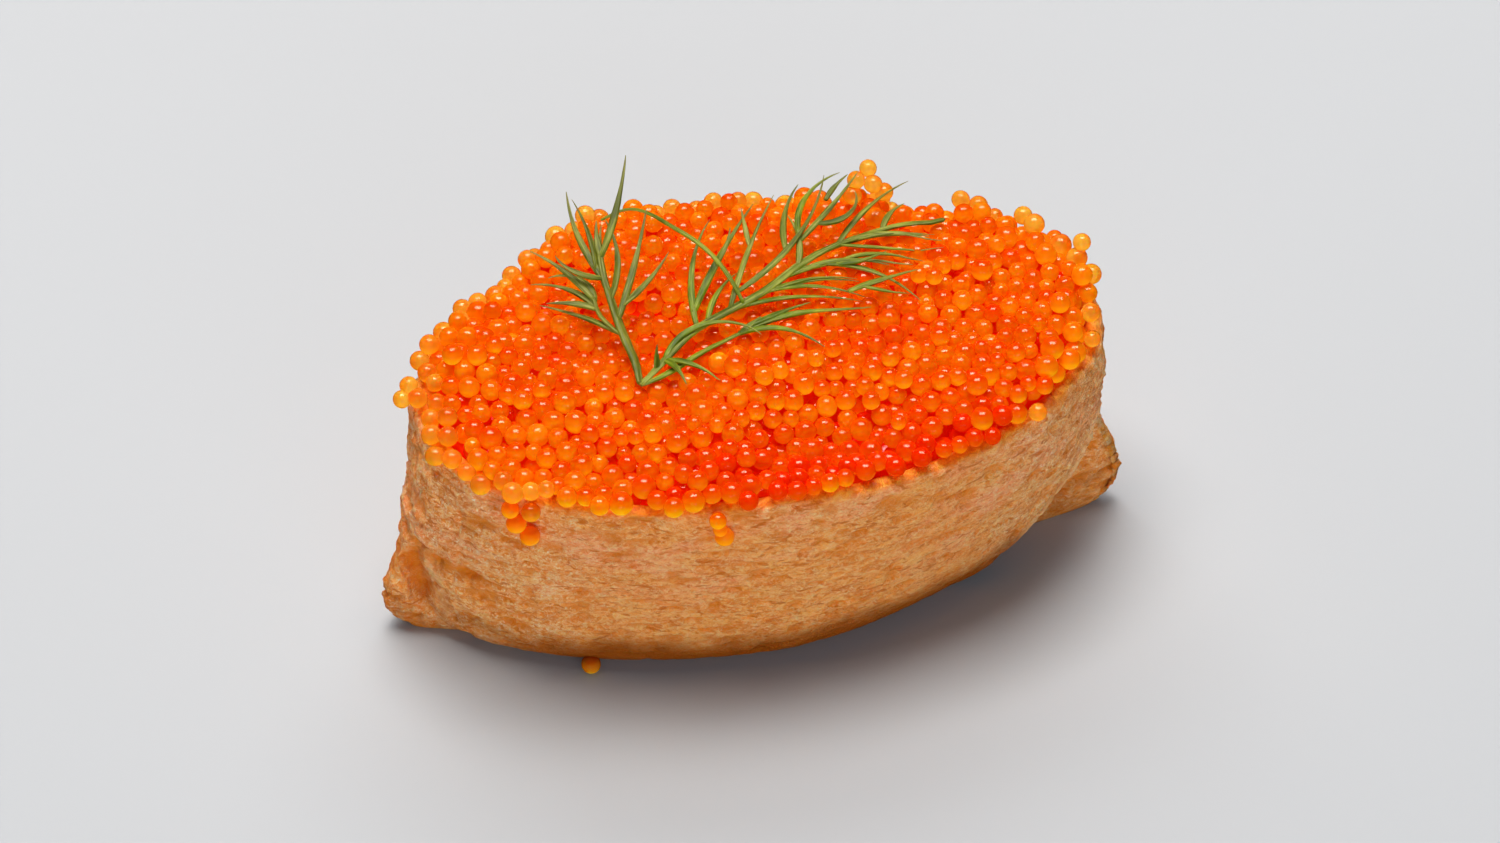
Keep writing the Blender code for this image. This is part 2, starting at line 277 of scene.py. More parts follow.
# ------------------------------------------------------------------- materials
def tofu_material():
    n = Nodes("fried_tofu_skin")
    # the skin's own coordinates: mm along the wall and mm up it
    skin = n.node("ShaderNodeAttribute", attribute_name="skin").outputs["Vector"]
    # painted shade: darker in the pits, creases, folds and hollows
    pit_shade = n.attribute("pit_shade")          # 0 on the skin, 1 in pits and creases
    stain = n.attribute("stain")      # roe juice along the rim
    # painted shade where the wall turns under
    foot = n.attribute("foot")        # darker where the wall turns under

    def streaks(long, tall, lean, detail, rough=0.6, twist=0.6):
        where = n.node("ShaderNodeMapping", {
            "Vector": skin, "Rotation": (0.0, 0.0, lean)}).outputs[0]
        where = n.node("ShaderNodeMapping", {
            "Vector": where, "Scale": (1 / long, 1 / tall, 1.0)}).outputs[0]
        return n.node("ShaderNodeTexNoise", {
            "Vector": where, "Scale": 1.0, "Detail": detail, "Roughness": rough,
            "Distortion": twist}).outputs[0]

    def fibres(long, tall, lean, thin, detail=2.0, twist=0.9):
        """Thin wavy lines, 1 on a fibre and 0 between."""
        field = streaks(long, tall, lean, detail, 0.55, twist)
        off = n.math("ABSOLUTE", n.math("SUBTRACT", field, 0.5))
        return n.node("ShaderNodeMapRange", {0: off, 1: 0.0, 2: thin, 3: 1.0, 4: 0.0},
                      interpolation_type="SMOOTHSTEP").outputs[0]

    place = n.node("ShaderNodeAttribute", attribute_name="place").outputs["Vector"]

    def lumps(size, detail, rough=0.6, twist=0.6):
        where = n.node("ShaderNodeMapping", {
            "Vector": place, "Scale": tuple(1 / s for s in size)}).outputs[0]
        return n.node("ShaderNodeTexNoise", {
            "Vector": where, "Scale": 1.0, "Detail": detail, "Roughness": rough,
            "Distortion": twist}).outputs[0]

    def threads(size, thin, twist):
        off = n.math("ABSOLUTE", n.math("SUBTRACT", lumps(size, 2.0, 0.55, twist), 0.5))
        return n.node("ShaderNodeMapRange", {0: off, 1: 0.0, 2: thin, 3: 1.0, 4: 0.0},
                      interpolation_type="SMOOTHSTEP").outputs[0]

    level = fibres(1.5, 0.60, 0.05, 0.050)
    leaning = fibres(1.4, 0.50, 0.80, 0.045)
    counter = fibres(1.4, 0.50, -0.65, 0.045)
    curl = threads((1.0, 1.0, 0.9), 0.040, 1.6)
    fibre = streaks(1.7, 0.95, 0.10, 3.5, 0.56, 1.5)
    crumple = lumps((1.15, 1.15, 0.90), 4.0, 0.60, 1.0)
    grain = lumps((0.42, 0.42, 0.28), 3.0)
    long_grain = streaks(5.0, 0.55, 0.03, 3.0, 0.55)
    patch = lumps((4.0, 4.0, 2.6), 4.0, 0.55)
    blush = lumps((9.0, 9.0, 5.0), 3.0, 0.5)
    spot = streaks(2.1, 0.72, 0.06, 2.0, 0.5, 1.1)
    # the weave lies level along the sides and in all directions at the ends
    end = n.attribute("end")
    field = n.node("ShaderNodeMix", {0: end, 2: fibre, 3: crumple},
                   data_type="FLOAT").outputs[0]
    colour = n.ramp(patch, [(0.34, (0.82, 0.230, 0.026)),
                            (0.50, (0.94, 0.290, 0.042)),
                            (0.66, (1.00, 0.370, 0.070))])
    high = n.attribute("high")
    colour = n.mix(n.math("MULTIPLY", n.math("MULTIPLY", n.ramp(
        blush, [(0.40, (0, 0, 0)), (0.62, (1, 1, 1))]), high), 0.75),
                   colour, (1.00, 0.320, 0.135))
    light = n.ramp(long_grain, [(0.48, (0, 0, 0)), (0.62, (1, 1, 1))])
    colour = n.mix(n.math("MULTIPLY", light, 0.30), colour, (1.0, 0.50, 0.150))
    light = n.ramp(field, [(0.47, (0, 0, 0)), (0.66, (1, 1, 1))])
    colour = n.mix(n.math("MULTIPLY", light, 0.55), colour, (1.0, 0.475, 0.160))
    dark = n.ramp(field, [(0.36, (1, 1, 1)), (0.51, (0, 0, 0))])
    colour = n.mix(n.math("MULTIPLY", dark, 0.80), colour, (0.77, 0.175, 0.009))
    dark = n.ramp(grain, [(0.32, (1, 1, 1)), (0.47, (0, 0, 0))])
    colour = n.mix(n.math("MULTIPLY", dark, 0.40), colour, (0.68, 0.155, 0.010))
    patchy = n.ramp(grain, [(0.40, (0, 0, 0)), (0.58, (1, 1, 1))])
    for line, much in ((level, 0.36), (leaning, 0.46), (counter, 0.44)):
        colour = n.mix(n.math("MULTIPLY", n.math("MULTIPLY", line, patchy), much),
                       colour, (1.0, 0.68, 0.320))
    ends_only = n.math("MULTIPLY", n.math("MULTIPLY", curl, patchy), end)
    colour = n.mix(n.math("MULTIPLY", ends_only, 0.75), colour, (1.0, 0.80, 0.480))
    # painted glints: small whitish strokes on the crumpled ends
    painted_glint = threads((0.62, 0.62, 0.50), 0.022, 1.2)
    painted_glint = n.math("MULTIPLY", painted_glint, n.ramp(crumple, [(0.50, (0, 0, 0)), (0.60, (1, 1, 1))]))
    colour = n.mix(n.math("MULTIPLY", n.math("MULTIPLY", painted_glint, end), 0.80),
                   colour, (1.0, 0.90, 0.680))
    dark = n.ramp(spot, [(0.615, (0, 0, 0)), (0.670, (1, 1, 1))])
    colour = n.mix(n.math("MULTIPLY", dark, 0.78), colour, (0.68, 0.145, 0.005))
    # painted highlight along the ridge at the right end and the lip at the left
    colour = n.mix(n.math("MULTIPLY", n.attribute("pale_edge_highlight"), 0.55), colour, (1.0, 0.60, 0.280))
    # painted shade in the pits, creases, folds and hollows of the skin
    colour = n.mix(pit_shade, colour, (0.80, 0.205, 0.008))
    # painted shade at the foot of the wall
    colour = n.mix(foot, colour, (0.33, 0.070, 0.003))
    golden = n.ramp(crumple, [(0.38, (0.76, 0.150, 0.002)), (0.50, (0.88, 0.240, 0.006)),
                              (0.62, (1.0, 0.400, 0.040))])
    colour = n.mix(stain, colour, golden)
    lines = n.math("ADD", n.math("ADD", level, leaning), n.math("ADD", counter, curl))
    height = n.math("ADD", n.math("MULTIPLY", field, 1.1), n.math(
        "ADD", n.math("MULTIPLY", grain, 0.7), n.math("MULTIPLY", lines, 0.20)))
    height = n.math("SUBTRACT", height, n.math("MULTIPLY", dark, 0.7))
    bump = n.node("ShaderNodeBump", {"Strength": 0.66, "Distance": 0.00021,
                                     "Height": height})
    fine = lumps((0.24, 0.24, 0.17), 2.0, 0.5)
    bump2 = n.node("ShaderNodeBump", {"Strength": 0.45, "Distance": 0.00008,
                                      "Height": fine, "Normal": bump.outputs[0]})
    rough = n.ramp(patch, [(0.35, (0.46,) * 3), (0.70, (0.32,) * 3)])
    shader = n.node("ShaderNodeBsdfPrincipled", {
        "Base Color": colour, "Roughness": rough, "Normal": bump2.outputs[0],
        "Specular IOR Level": 0.42, "Specular Tint": (1.0, 0.85, 0.72, 1),
        "Subsurface Weight": 0.35, "Subsurface Radius": (1.0, 0.36, 0.12),
        "Subsurface Scale": 0.0010})
    return n.finish(shader.outputs[0])


def egg_material(name, top, low, deep, thin, painted_glow_top, painted_glow_low, clear=0.10):
    """Roe: orange that is yellower on an egg's lower half, painted light standing in
    for the light that came in at the top and gathers there; redder deep in the
    heap, painted shade; amber at its thin edges, painted light for light shining
    through; every egg also has a faint painted glow."""
    n = Nodes(name)
    tone_light_and_shade = n.attribute("tone_light_and_shade")
    # towards the light, which comes from above and a little behind: the colour and glow below are
    # painted light, set by this direction
    up = n.node("ShaderNodeVectorMath", {
        0: n.node("ShaderNodeNewGeometry").outputs["Normal"],
        1: (0.08, 0.45, 0.89)}, operation="DOT_PRODUCT").outputs["Value"]
    up = n.math("ADD", n.math("MULTIPLY", up, 0.5), 0.5)
    # painted light: a yellow crescent low down where the light gathers, a darker red cap on top
    rim = tuple(0.35 * a + 0.65 * b for a, b in zip(low, (1.0, 0.66, 0.03)))
    middle = tuple(0.30 * a + 0.76 * b for a, b in zip(low, top))
    cap = (0.86 * top[0], 0.62 * top[1], top[2])
    colour = n.ramp(up, [(0.06, rim), (0.27, low), (0.52, middle), (0.84, cap)])
    painted_glow = n.ramp(up, [(0.14, painted_glow_low), (0.58, painted_glow_top)])
    # painted shade: a low tone turns an egg redder, with a red painted glow; painted light: a
    # high tone turns it amber
    inward = n.node("ShaderNodeMapRange", {0: tone_light_and_shade, 1: 0.5, 2: 0.0}).outputs[0]
    outward = n.node("ShaderNodeMapRange", {0: tone_light_and_shade, 1: 0.5, 2: 1.0}).outputs[0]
    colour = n.mix(outward, n.mix(n.math("MULTIPLY", inward, 0.9), colour, deep), thin)
    painted_glow = n.mix(inward, painted_glow, (0.16, 0.001, 0.0))
    shader = n.node("ShaderNodeBsdfPrincipled", {
        "Base Color": colour, "Roughness": 0.12, "IOR": 1.42,
        "Specular IOR Level": 0.80, "Specular Tint": (1.0, 0.84, 0.60, 1),
        "Transmission Weight": clear, "Subsurface Weight": 1.0,
        "Subsurface Radius": (1.5, 0.5, 0.1), "Subsurface Scale": 0.0004,
        "Emission Color": painted_glow, "Emission Strength": 1.0})
    return n.finish(shader.outputs[0])


def core_material():
    n = Nodes("roe_mass")
    where = n.node("ShaderNodeTexCoord").outputs["Object"]
    cells = n.node("ShaderNodeTexVoronoi", {"Vector": where, "Scale": 520.0})
    colour = n.ramp(cells.outputs["Distance"], [
        (0.0, (0.74, 0.030, 0.0)), (0.6, (0.66, 0.006, 0.0))])
    # painted glow: the mass glows red, standing in for the light that passes down through the
    # eggs
    shader = n.node("ShaderNodeBsdfPrincipled", {
        "Base Color": colour, "Roughness": 0.25,
        "Emission Color": (0.26, 0.001, 0.0, 1), "Emission Strength": 1.0})
    return n.finish(shader.outputs[0])


def dill_material():
    n = Nodes("dill_green")
    hue = n.attribute("hue")       # 0 grey green, 1 yellow green
    tip = n.attribute("tip")       # 0 at the stem, 1 at a leaflet's tip
    leaf = n.node("ShaderNodeAttribute", attribute_name="leaf").outputs["Vector"]

    def streak(long, wide, detail):
        where = n.node("ShaderNodeMapping", {
            "Vector": leaf, "Scale": (1 / long, 1 / wide, 1.0)}).outputs[0]
        return n.node("ShaderNodeTexNoise", {
            "Vector": where, "Scale": 1.0, "Detail": detail,
            "Roughness": 0.55}).outputs[0]

    vein = streak(2.6, 0.16, 3.0)
    patch = streak(3.4, 1.0, 2.0)
    grey = n.ramp(patch, [(0.32, (0.088, 0.100, 0.006)), (0.52, (0.158, 0.168, 0.014)),
                          (0.70, (0.255, 0.255, 0.032))])
    fresh = n.ramp(patch, [(0.32, (0.066, 0.112, 0.0)), (0.52, (0.145, 0.205, 0.001)),
                           (0.70, (0.300, 0.345, 0.004))])
    colour = n.mix(hue, grey, fresh)
    colour = n.mix(n.math("MULTIPLY", n.ramp(vein, [(0.50, (0, 0, 0)),
                                                    (0.66, (1, 1, 1))]), 0.52),
                   colour, (0.42, 0.41, 0.09))
    colour = n.mix(n.math("MULTIPLY", n.ramp(vein, [(0.32, (1, 1, 1)),
                                                    (0.47, (0, 0, 0))]), 0.55),
                   colour, (0.036, 0.052, 0.001))
    colour = n.mix(n.math("MULTIPLY", n.math("POWER", tip, 4.0), 0.45), colour,
                   (0.26, 0.21, 0.07))
    bump = n.node("ShaderNodeBump", {"Strength": 0.7, "Distance": 0.00010,
                                     "Height": vein})
    shader = n.node("ShaderNodeBsdfPrincipled", {
        "Base Color": colour, "Roughness": 0.46, "Normal": bump.outputs[0],
        "Specular IOR Level": 0.26, "Subsurface Weight": 0.12,
        "Subsurface Radius": (0.5, 1.0, 0.2), "Subsurface Scale": 0.0003})
    return n.finish(shader.outputs[0])


# ------------------------------------------------------------------- the pouch
def foot_inset(z):
    zz = np.clip(z, 0, FOOT_RADIUS)
    return FOOT_RADIUS - np.sqrt(FOOT_RADIUS ** 2 - (FOOT_RADIUS - zz) ** 2)


def fin_reach(fin, tip, z):
    low, top = fin["low"], fin["top"]
    under = tip - 2.6 * np.clip((low - z) / low, 0, 1) ** 2.2
    over = tip - 2.9 * np.clip((z - low) / (top - low), 0, 1) ** 1.5
    return np.where(z < low, under, over)


# Hollows that show in the wall: place along x, height, half length, half height
# and depth, all on the side that faces -y.
HOLLOWS = ((-31.0, 11.2, 0.95, 0.95, 0.55), (-29.2, 11.0, 1.10, 0.50, 0.45),
           (-27.8, 19.5, 0.80, 0.60, 0.45), (-32.3, 17.0, 0.60, 1.00, 0.35),
           (-26.6, 14.4, 0.90, 0.35, 0.30), (-24.9, 17.8, 0.80, 0.30, 0.25))
# Short level creases of the near wall: x, height, half length
CREASES = ((1.6, 14.2, 1.00), (3.7, 15.3, 0.80), (-4.3, 13.8, 0.75),
           (-6.3, 12.6, 0.45), (-12.2, 13.3, 0.80), (-15.2, 16.6, 0.80),
           (-13.1, 17.9, 0.35), (0.3, 17.1, 0.35), (5.1, 16.8, 0.80),
           (-9.5, 19.3, 0.35), (-2.7, 17.6, 0.45), (1.5, 20.6, 0.60),
           (6.7, 13.3, 0.50), (-10.8, 18.6, 0.50), (-19.6, 12.0, 0.90),
           (-22.0, 9.0, 0.70), (-16.9, 9.6, 0.60), (12.4, 15.2, 0.70),
           (17.0, 17.8, 0.80), (20.6, 14.5, 0.70), (9.8, 10.4, 0.60))


def make_pouch():
    columns = 820
    k = np.arange(columns)
    angle = 2 * np.pi * k / columns
    angle = angle - 0.30 * np.sin(2 * angle)
    height = rim_height(angle)
    rows = []      # (z, inset, outer)
    for inset in (12.0, 8.0, 5.0, 3.6):
        rows.append((np.zeros(columns), np.full(columns, inset), False))
    steps = 91
    for j in range(steps):
        share = j / (steps - 1)
        share = 0.25 * share * share + 0.75 * share
        z = share * (height - WALL / 2)
        rows.append((z, foot_inset(z), True))
    for j in range(1, 11):
        over = math.pi * j / 10
        rows.append((height - WALL / 2 + WALL / 2 * math.sin(over),
                     np.full(columns, WALL / 2 * (1 - math.cos(over))), j < 6))
    for share in (0.90, 0.78, 0.64, 0.5):
        rows.append((share * (height - WALL / 2), np.full(columns, WALL), False))
    z = np.array([r[0] for r in rows])
    inset = np.array([r[1] for r in rows])
    outer = np.array([np.full(columns, r[2]) for r in rows])
    a = np.broadcast_to(angle, z.shape)
    t = np.clip(z / height, 0, 1)
    x, y = outline(a, t, inset)
    shape = z.shape
    fold = np.zeros(shape)
    # the foot stands a little out at the left and in at the right
    y = y + np.where(outer & (y < 0), 0.034 * (x + 3) * (1 - t) ** 2, 0)
    # right: the wall ends in a ridge, and the corner comes out from under it
    degrees = np.degrees(np.mod(a, 2 * np.pi))
    degrees = np.where(degrees < 90, degrees + 360, degrees)
    ridge = np.interp(z, (0, 2, 4.7, 6.6, 8.5, 11.6, 15.5), (314, 321, 331, 340, 346, 349, 353))
    past = smooth(ridge - 0.6, ridge + 1.6, degrees) * (1 - smooth(372, 390, degrees))
    tucked = past * outer * (1 - smooth(12.5, 16.5, z)) * (x > 15)
    over = bell(degrees, ridge - 3.0, 2.6) * outer * (1 - smooth(13.5, 17, z)) * (x > 15)
    pull = 1.25 * tucked - 0.35 * over
    x = x - pull * np.cos(np.radians(degrees)) * 0.75
    y = y - pull * np.sin(np.radians(degrees)) * 1.0
    # painted shade on the corner where it tucks under the ridge
    fold += 0.36 * tucked
    # painted highlight along the edge of the ridge
    pale_edge_highlight = 1.4 * over
    for fin, tip, way in ((FIN_LEFT, CORNER_LEFT, -1), (FIN_RIGHT, CORNER_RIGHT, 1)):
        near = outer & (x * way > 20) & (z < fin["top"])
        thick = fin["thick"] * (1 - 0.5 * z / fin["top"])
        reach = fin_reach(fin, tip, z)
        if way < 0:      # above, this corner runs out into the wall
            thick = thick + 3.0 * smooth(7.5, 14.0, z)
            reach = np.interp(z, (0, 1.5, 3.4, 5.5, 7.5, 9.7, 12, 14, 16, 18, 20, 22),
                              (33.6, 35.4, 36.0, 36.1, 35.4, 34.5, 33.9, 33.4, 32.9,
                               32.4, 31.9, 31.5))
        across = (y - fin["y"]) / thick
        out = reach - x * way
        profile = 1 - smooth(0.18, 0.98, np.abs(across))
        x = x + np.where(near, way * np.maximum(0, out) * profile, 0)
        # a fold between the corner and the wall, behind
        back_dip = bell(across, 1.15, 0.45) * bell(z, fin["fold"], 4.0)
        side = (x * way > 20) & outer
        x = x - np.where(side, way * 0.8 * back_dip, 0)
        # painted shade in this fold
        fold += np.where(side, 0.5 * back_dip, 0)
    # left: a pocket on the side that faces -y, shut by a lip of the wall
    lip = -31.9 - 0.15 * (z - 6)
    deep_in = smooth(lip - 2.4, lip - 0.5, x) * (1 - smooth(lip - 0.35, lip + 0.25, x))
    tall = smooth(2.6, 5.2, z) * (1 - smooth(8.0, 13.0, z))
    front = 1 - smooth(-1.8, 0.2, y)
    pocket = deep_in * tall * outer * front
    y = y + 1.9 * pocket
    # painted shade in the pocket
    fold += 0.8 * pocket ** 1.3
    # painted highlight along the lip
    pale_edge_highlight += 0.8 * bell(x, lip + 0.8, 0.5) * tall * outer * front
    pale_edge_highlight = np.clip(pale_edge_highlight, 0, 1)
    grid = np.stack([x, y, z], -1)
    points = grid.reshape(-1, 3)
    # outward direction of the smooth shape
    du = np.roll(grid, -1, 1) - np.roll(grid, 1, 1)
    dv = np.gradient(grid, axis=0)
    normal = np.cross(du, dv)
    normal /= np.maximum(np.linalg.norm(normal, axis=-1, keepdims=True), 1e-9)
    normal = normal.reshape(-1, 3)
    fx, fy, fz = points.T
    flat_outer = outer.reshape(-1)
    flat_h = np.broadcast_to(height, shape).reshape(-1)
    degrees = np.degrees(np.broadcast_to(angle, shape)).reshape(-1)
    # distance along each row of the wall, both ways from the middle of the near
    # side
    start = int(np.argmin(np.abs(angle - 1.5 * np.pi)))
    step = np.linalg.norm(np.roll(grid, -1, 1)[:, :, :2] - grid[:, :, :2], axis=-1)
    arc = np.cumsum(np.roll(step, -start, 1), axis=1)
    arc = np.concatenate([np.zeros((len(arc), 1)), arc[:, :-1]], axis=1)
    whole = step.sum(1, keepdims=True)
    arc = np.where(arc > whole / 2, arc - whole, arc)
    arc = np.roll(arc, start, 1)
    run = arc.reshape(-1)
    skin = np.stack([run, fz, np.zeros_like(run)], -1)
    left_end = smooth(19, 29, -fx)
    right_end = smooth(22, 30, fx)
    ends = np.maximum(left_end, 0.7 * right_end)
    relief = 0.36 * fractal(points, (13, 13, 9), 3, 2)
    relief += (0.07 - 0.03 * ends) * fractal(skin, (5.0, 1.8, 1), 11, 3)
    relief += 0.05 * fractal(points, (2.2, 2.2, 1.5), 15, 2)
    lumps = fractal(points, (3.6, 3.6, 3.0), 29, 3, 0.6)
    relief += 0.40 * ends * lumps + 0.13 * ends * fractal(points, (1.7, 1.7, 1.2), 19, 2)
    creased = 1 - np.abs(fractal(points, (4.6, 4.6, 3.4), 31, 2)) * 2.4
    relief -= 0.24 * ends * np.clip(creased, 0, 1) ** 3
    relief += (0.28 * np.maximum(left_end, right_end) * smooth(5.0, 1.0, fz)
               * fractal(points, (1.5, 1.5, 1.1), 37, 2))
    # small pits, longer along the wall, few and uneven
    pits = np.zeros(len(points))
    for size, seed, depth, cut in (((1.9, 0.62, 1), 41, 0.30, 0.56),
                                   ((0.9, 0.46, 1), 43, 0.14, 0.62),
                                   ((2.8, 0.90, 1), 47, 0.30, 0.60)):
        pits += depth * smooth(cut, cut + 0.26, noise(skin, size, seed))
    for hx, hz, half, tall, deep in HOLLOWS:
        wavy = 0.25 * noise(points, 1.1, 83)
        pits += (deep * bell(fx + wavy, hx, half) * bell(fz + wavy, hz, tall)
                 * (fy < 2))
    for hx, hz, half in CREASES:
        wavy = 0.10 * noise(points, 0.8, 87)
        tilt = 0.12 * (fx - hx)
        pits += (0.34 * bell(fx, hx, half) * bell(fz + wavy - tilt, hz, 0.24)
                 * (fy < 2))
    fine = 0.050 * fractal(skin, (0.9, 0.36, 1), 53, 2) + 0.030 * noise(points, 0.5, 59)
    edge = smooth(0.0, 1.2, fz)
    under_rim = smooth(-0.1, 1.2, flat_h - fz)
    ragged = 0.22 * fractal(points, 2.6, 67, 2) * bell(flat_h - fz, 0, 2.5)
    corner = np.maximum(smooth(-28, -32, fx), smooth(29, 33, fx))
    ragged += 0.26 * corner * fractal(points, (1.0, 1.0, 0.8), 97, 3) * smooth(0, 0.8, fz)
    shift = relief * smooth(0, 4, fz) + (fine - 0.9 * pits * under_rim) * edge + ragged
    shift = np.where(flat_outer, shift, 0.5 * ragged)
    points = points + normal * shift[:, None]
    # the rim isn't cut level
    flat_run = np.broadcast_to(arc[60], shape).reshape(-1)
    uneven = 0.30 * fractal(np.stack([flat_run, 0 * run, 0 * run], -1), (5.0, 1, 1), 73, 3)
    points[:, 2] += uneven * smooth(0.5, 1.0, fz / flat_h)
    points[:, 2] = np.maximum(points[:, 2], 0.0)
    # painted shade in the low hollows of the lumpy ends, added to the pits, creases and folds
    hollow_shade = np.clip(-lumps - 0.12, 0, 1) * ends
    pit_shade = np.clip(2.0 * pits + 0.8 * fold.reshape(-1) + 1.1 * hollow_shade, 0, 0.90)
    stain_line = 1.1 + 1.1 * noise(skin, (3.2, 5, 5), 61)
    wet = 0.30 + 0.70 * bell(degrees, 285, 30)
    stain = wet * smooth(stain_line, -0.3, flat_h - fz) * 0.9
    stain = np.clip(np.where(flat_outer & (flat_h - fz > 0.25), stain, 0.97), 0, 1)
    # painted shade along the foot, where the wall turns under, weaker at the two ends
    foot = 0.98 * smooth(6.6, 2.2, fz + 1.3 * fractal(points, 4, 71, 3))
    foot *= 1 - np.maximum(0.66 * left_end, 0.88 * right_end) * (
        0.75 + 0.25 * np.clip(2 * noise(points, 1.4, 73), -1, 1))
    # close the underside and the inside
    rows_n = shape[0]
    faces = grid_faces(rows_n, columns)
    inner = points[-columns:].mean(0)
    top = (rows_n - 1) * columns
    nxt = (k + 1) % columns
    first, last = len(points), len(points) + 1
    points = np.vstack([points, [0, 0, 0], inner])
    tris = np.vstack([faces[:, [0, 1, 2]], faces[:, [0, 2, 3]],
                      np.stack([nxt, k, np.full(columns, first)], -1),
                      np.stack([top + k, top + nxt, np.full(columns, last)], -1)])
    pad = np.zeros(2)
    return new_mesh("tofu_pouch_skin", points, tris, tofu_material(), attributes={
        "pit_shade": np.concatenate([pit_shade, pad]),
        "stain": np.concatenate([stain, pad]),
        "foot": np.concatenate([foot, pad]),
        "end": np.concatenate([np.clip(0.15 + smooth(14, 26, np.abs(fx)), 0, 1), pad]),
        "pale_edge_highlight": np.concatenate([pale_edge_highlight.reshape(-1), pad]),
        "high": np.concatenate([smooth(6, 17, fz + 2.5 * noise(points[:-2], 6, 91)), pad]),
        "place": points,
        "skin": np.vstack([skin, np.zeros((2, 3))])})


# --------------------------------------------------------------------- the roe
CENTRE_Y = END_LINE[2]


def plan(x, y, inset_of):
    """Angle round the heap, and share of the way out to an outline that stands
    inset_of(angle) inside the pouch's rim, for points in plan."""
    yy = y - CENTRE_Y
    angle = np.arctan2(yy / 20.0, x / 32.5)
    for _ in range(4):
        ox, oy = outline(angle, 1.0, inset_of(angle))
        now = np.arctan2(oy - CENTRE_Y, ox)
        goal = np.arctan2(yy, x)
        angle = angle + np.angle(np.exp(1j * (goal - now))) * 0.9
    ox, oy = outline(angle, 1.0, inset_of(angle))
    reach = np.hypot(ox, oy - CENTRE_Y)
    return angle, np.hypot(x, yy) / reach, reach


def spill_inset(angle):
    return WALL - np.maximum(-0.6, spill(angle))


def wall_inset(angle):
    return np.full(np.shape(angle), WALL)


def heap_top(x, y):
    """Height of the top of the heap."""
    angle, share, _ = plan(x, y, spill_inset)
    rim = rim_height(angle) + 1.5 * np.minimum(0, spill(angle))
    edge = rim + around(angle, EDGE_LEFT, EDGE_FAR, EDGE_RIGHT, EDGE_NEAR)
    summit = RIM_FAR + MOUND
    s = np.clip(share, 0, 1)
    top = summit + (edge - summit) * s ** 2
    top -= 1.1 * smooth(0.88, 1.02, share)
    degrees = np.degrees(np.mod(angle, 2 * np.pi))
    top += s ** 4 * (3.1 * bell(degrees, 28, 14) + 1.6 * bell(degrees, 108, 10)
                     - 1.0 * bell(degrees, 55, 7) - 0.5 * bell(degrees, 80, 10)
                     + 1.7 * bell(degrees, 164, 13) - 1.3 * bell(degrees, 137, 6))
    top += 0.40 * np.sin(x / 4.1 + 0.7) * np.cos(y / 3.3 + 0.4)
    top += 0.28 * np.sin(x / 2.3 - y / 2.9 + 1.1)
    top -= 1.3 * bell(x, 5, 8) * bell(y, -10, 4)
    top -= 1.0 * bell(x, -10, 5) * bell(y, 2, 4)
    top += 1.2 * bell(x, 14.6, 1.9) * bell(y, 17.4, 2.0)
    return top


def core_top(x, y):
    """Height of the smooth mass under the eggs that show."""
    angle, share, _ = plan(x, y, wall_inset)
    return np.minimum(heap_top(x, y) - 3.3, rim_height(angle) + 1.9
                      - 2.5 * smooth(0.84, 1.0, share))


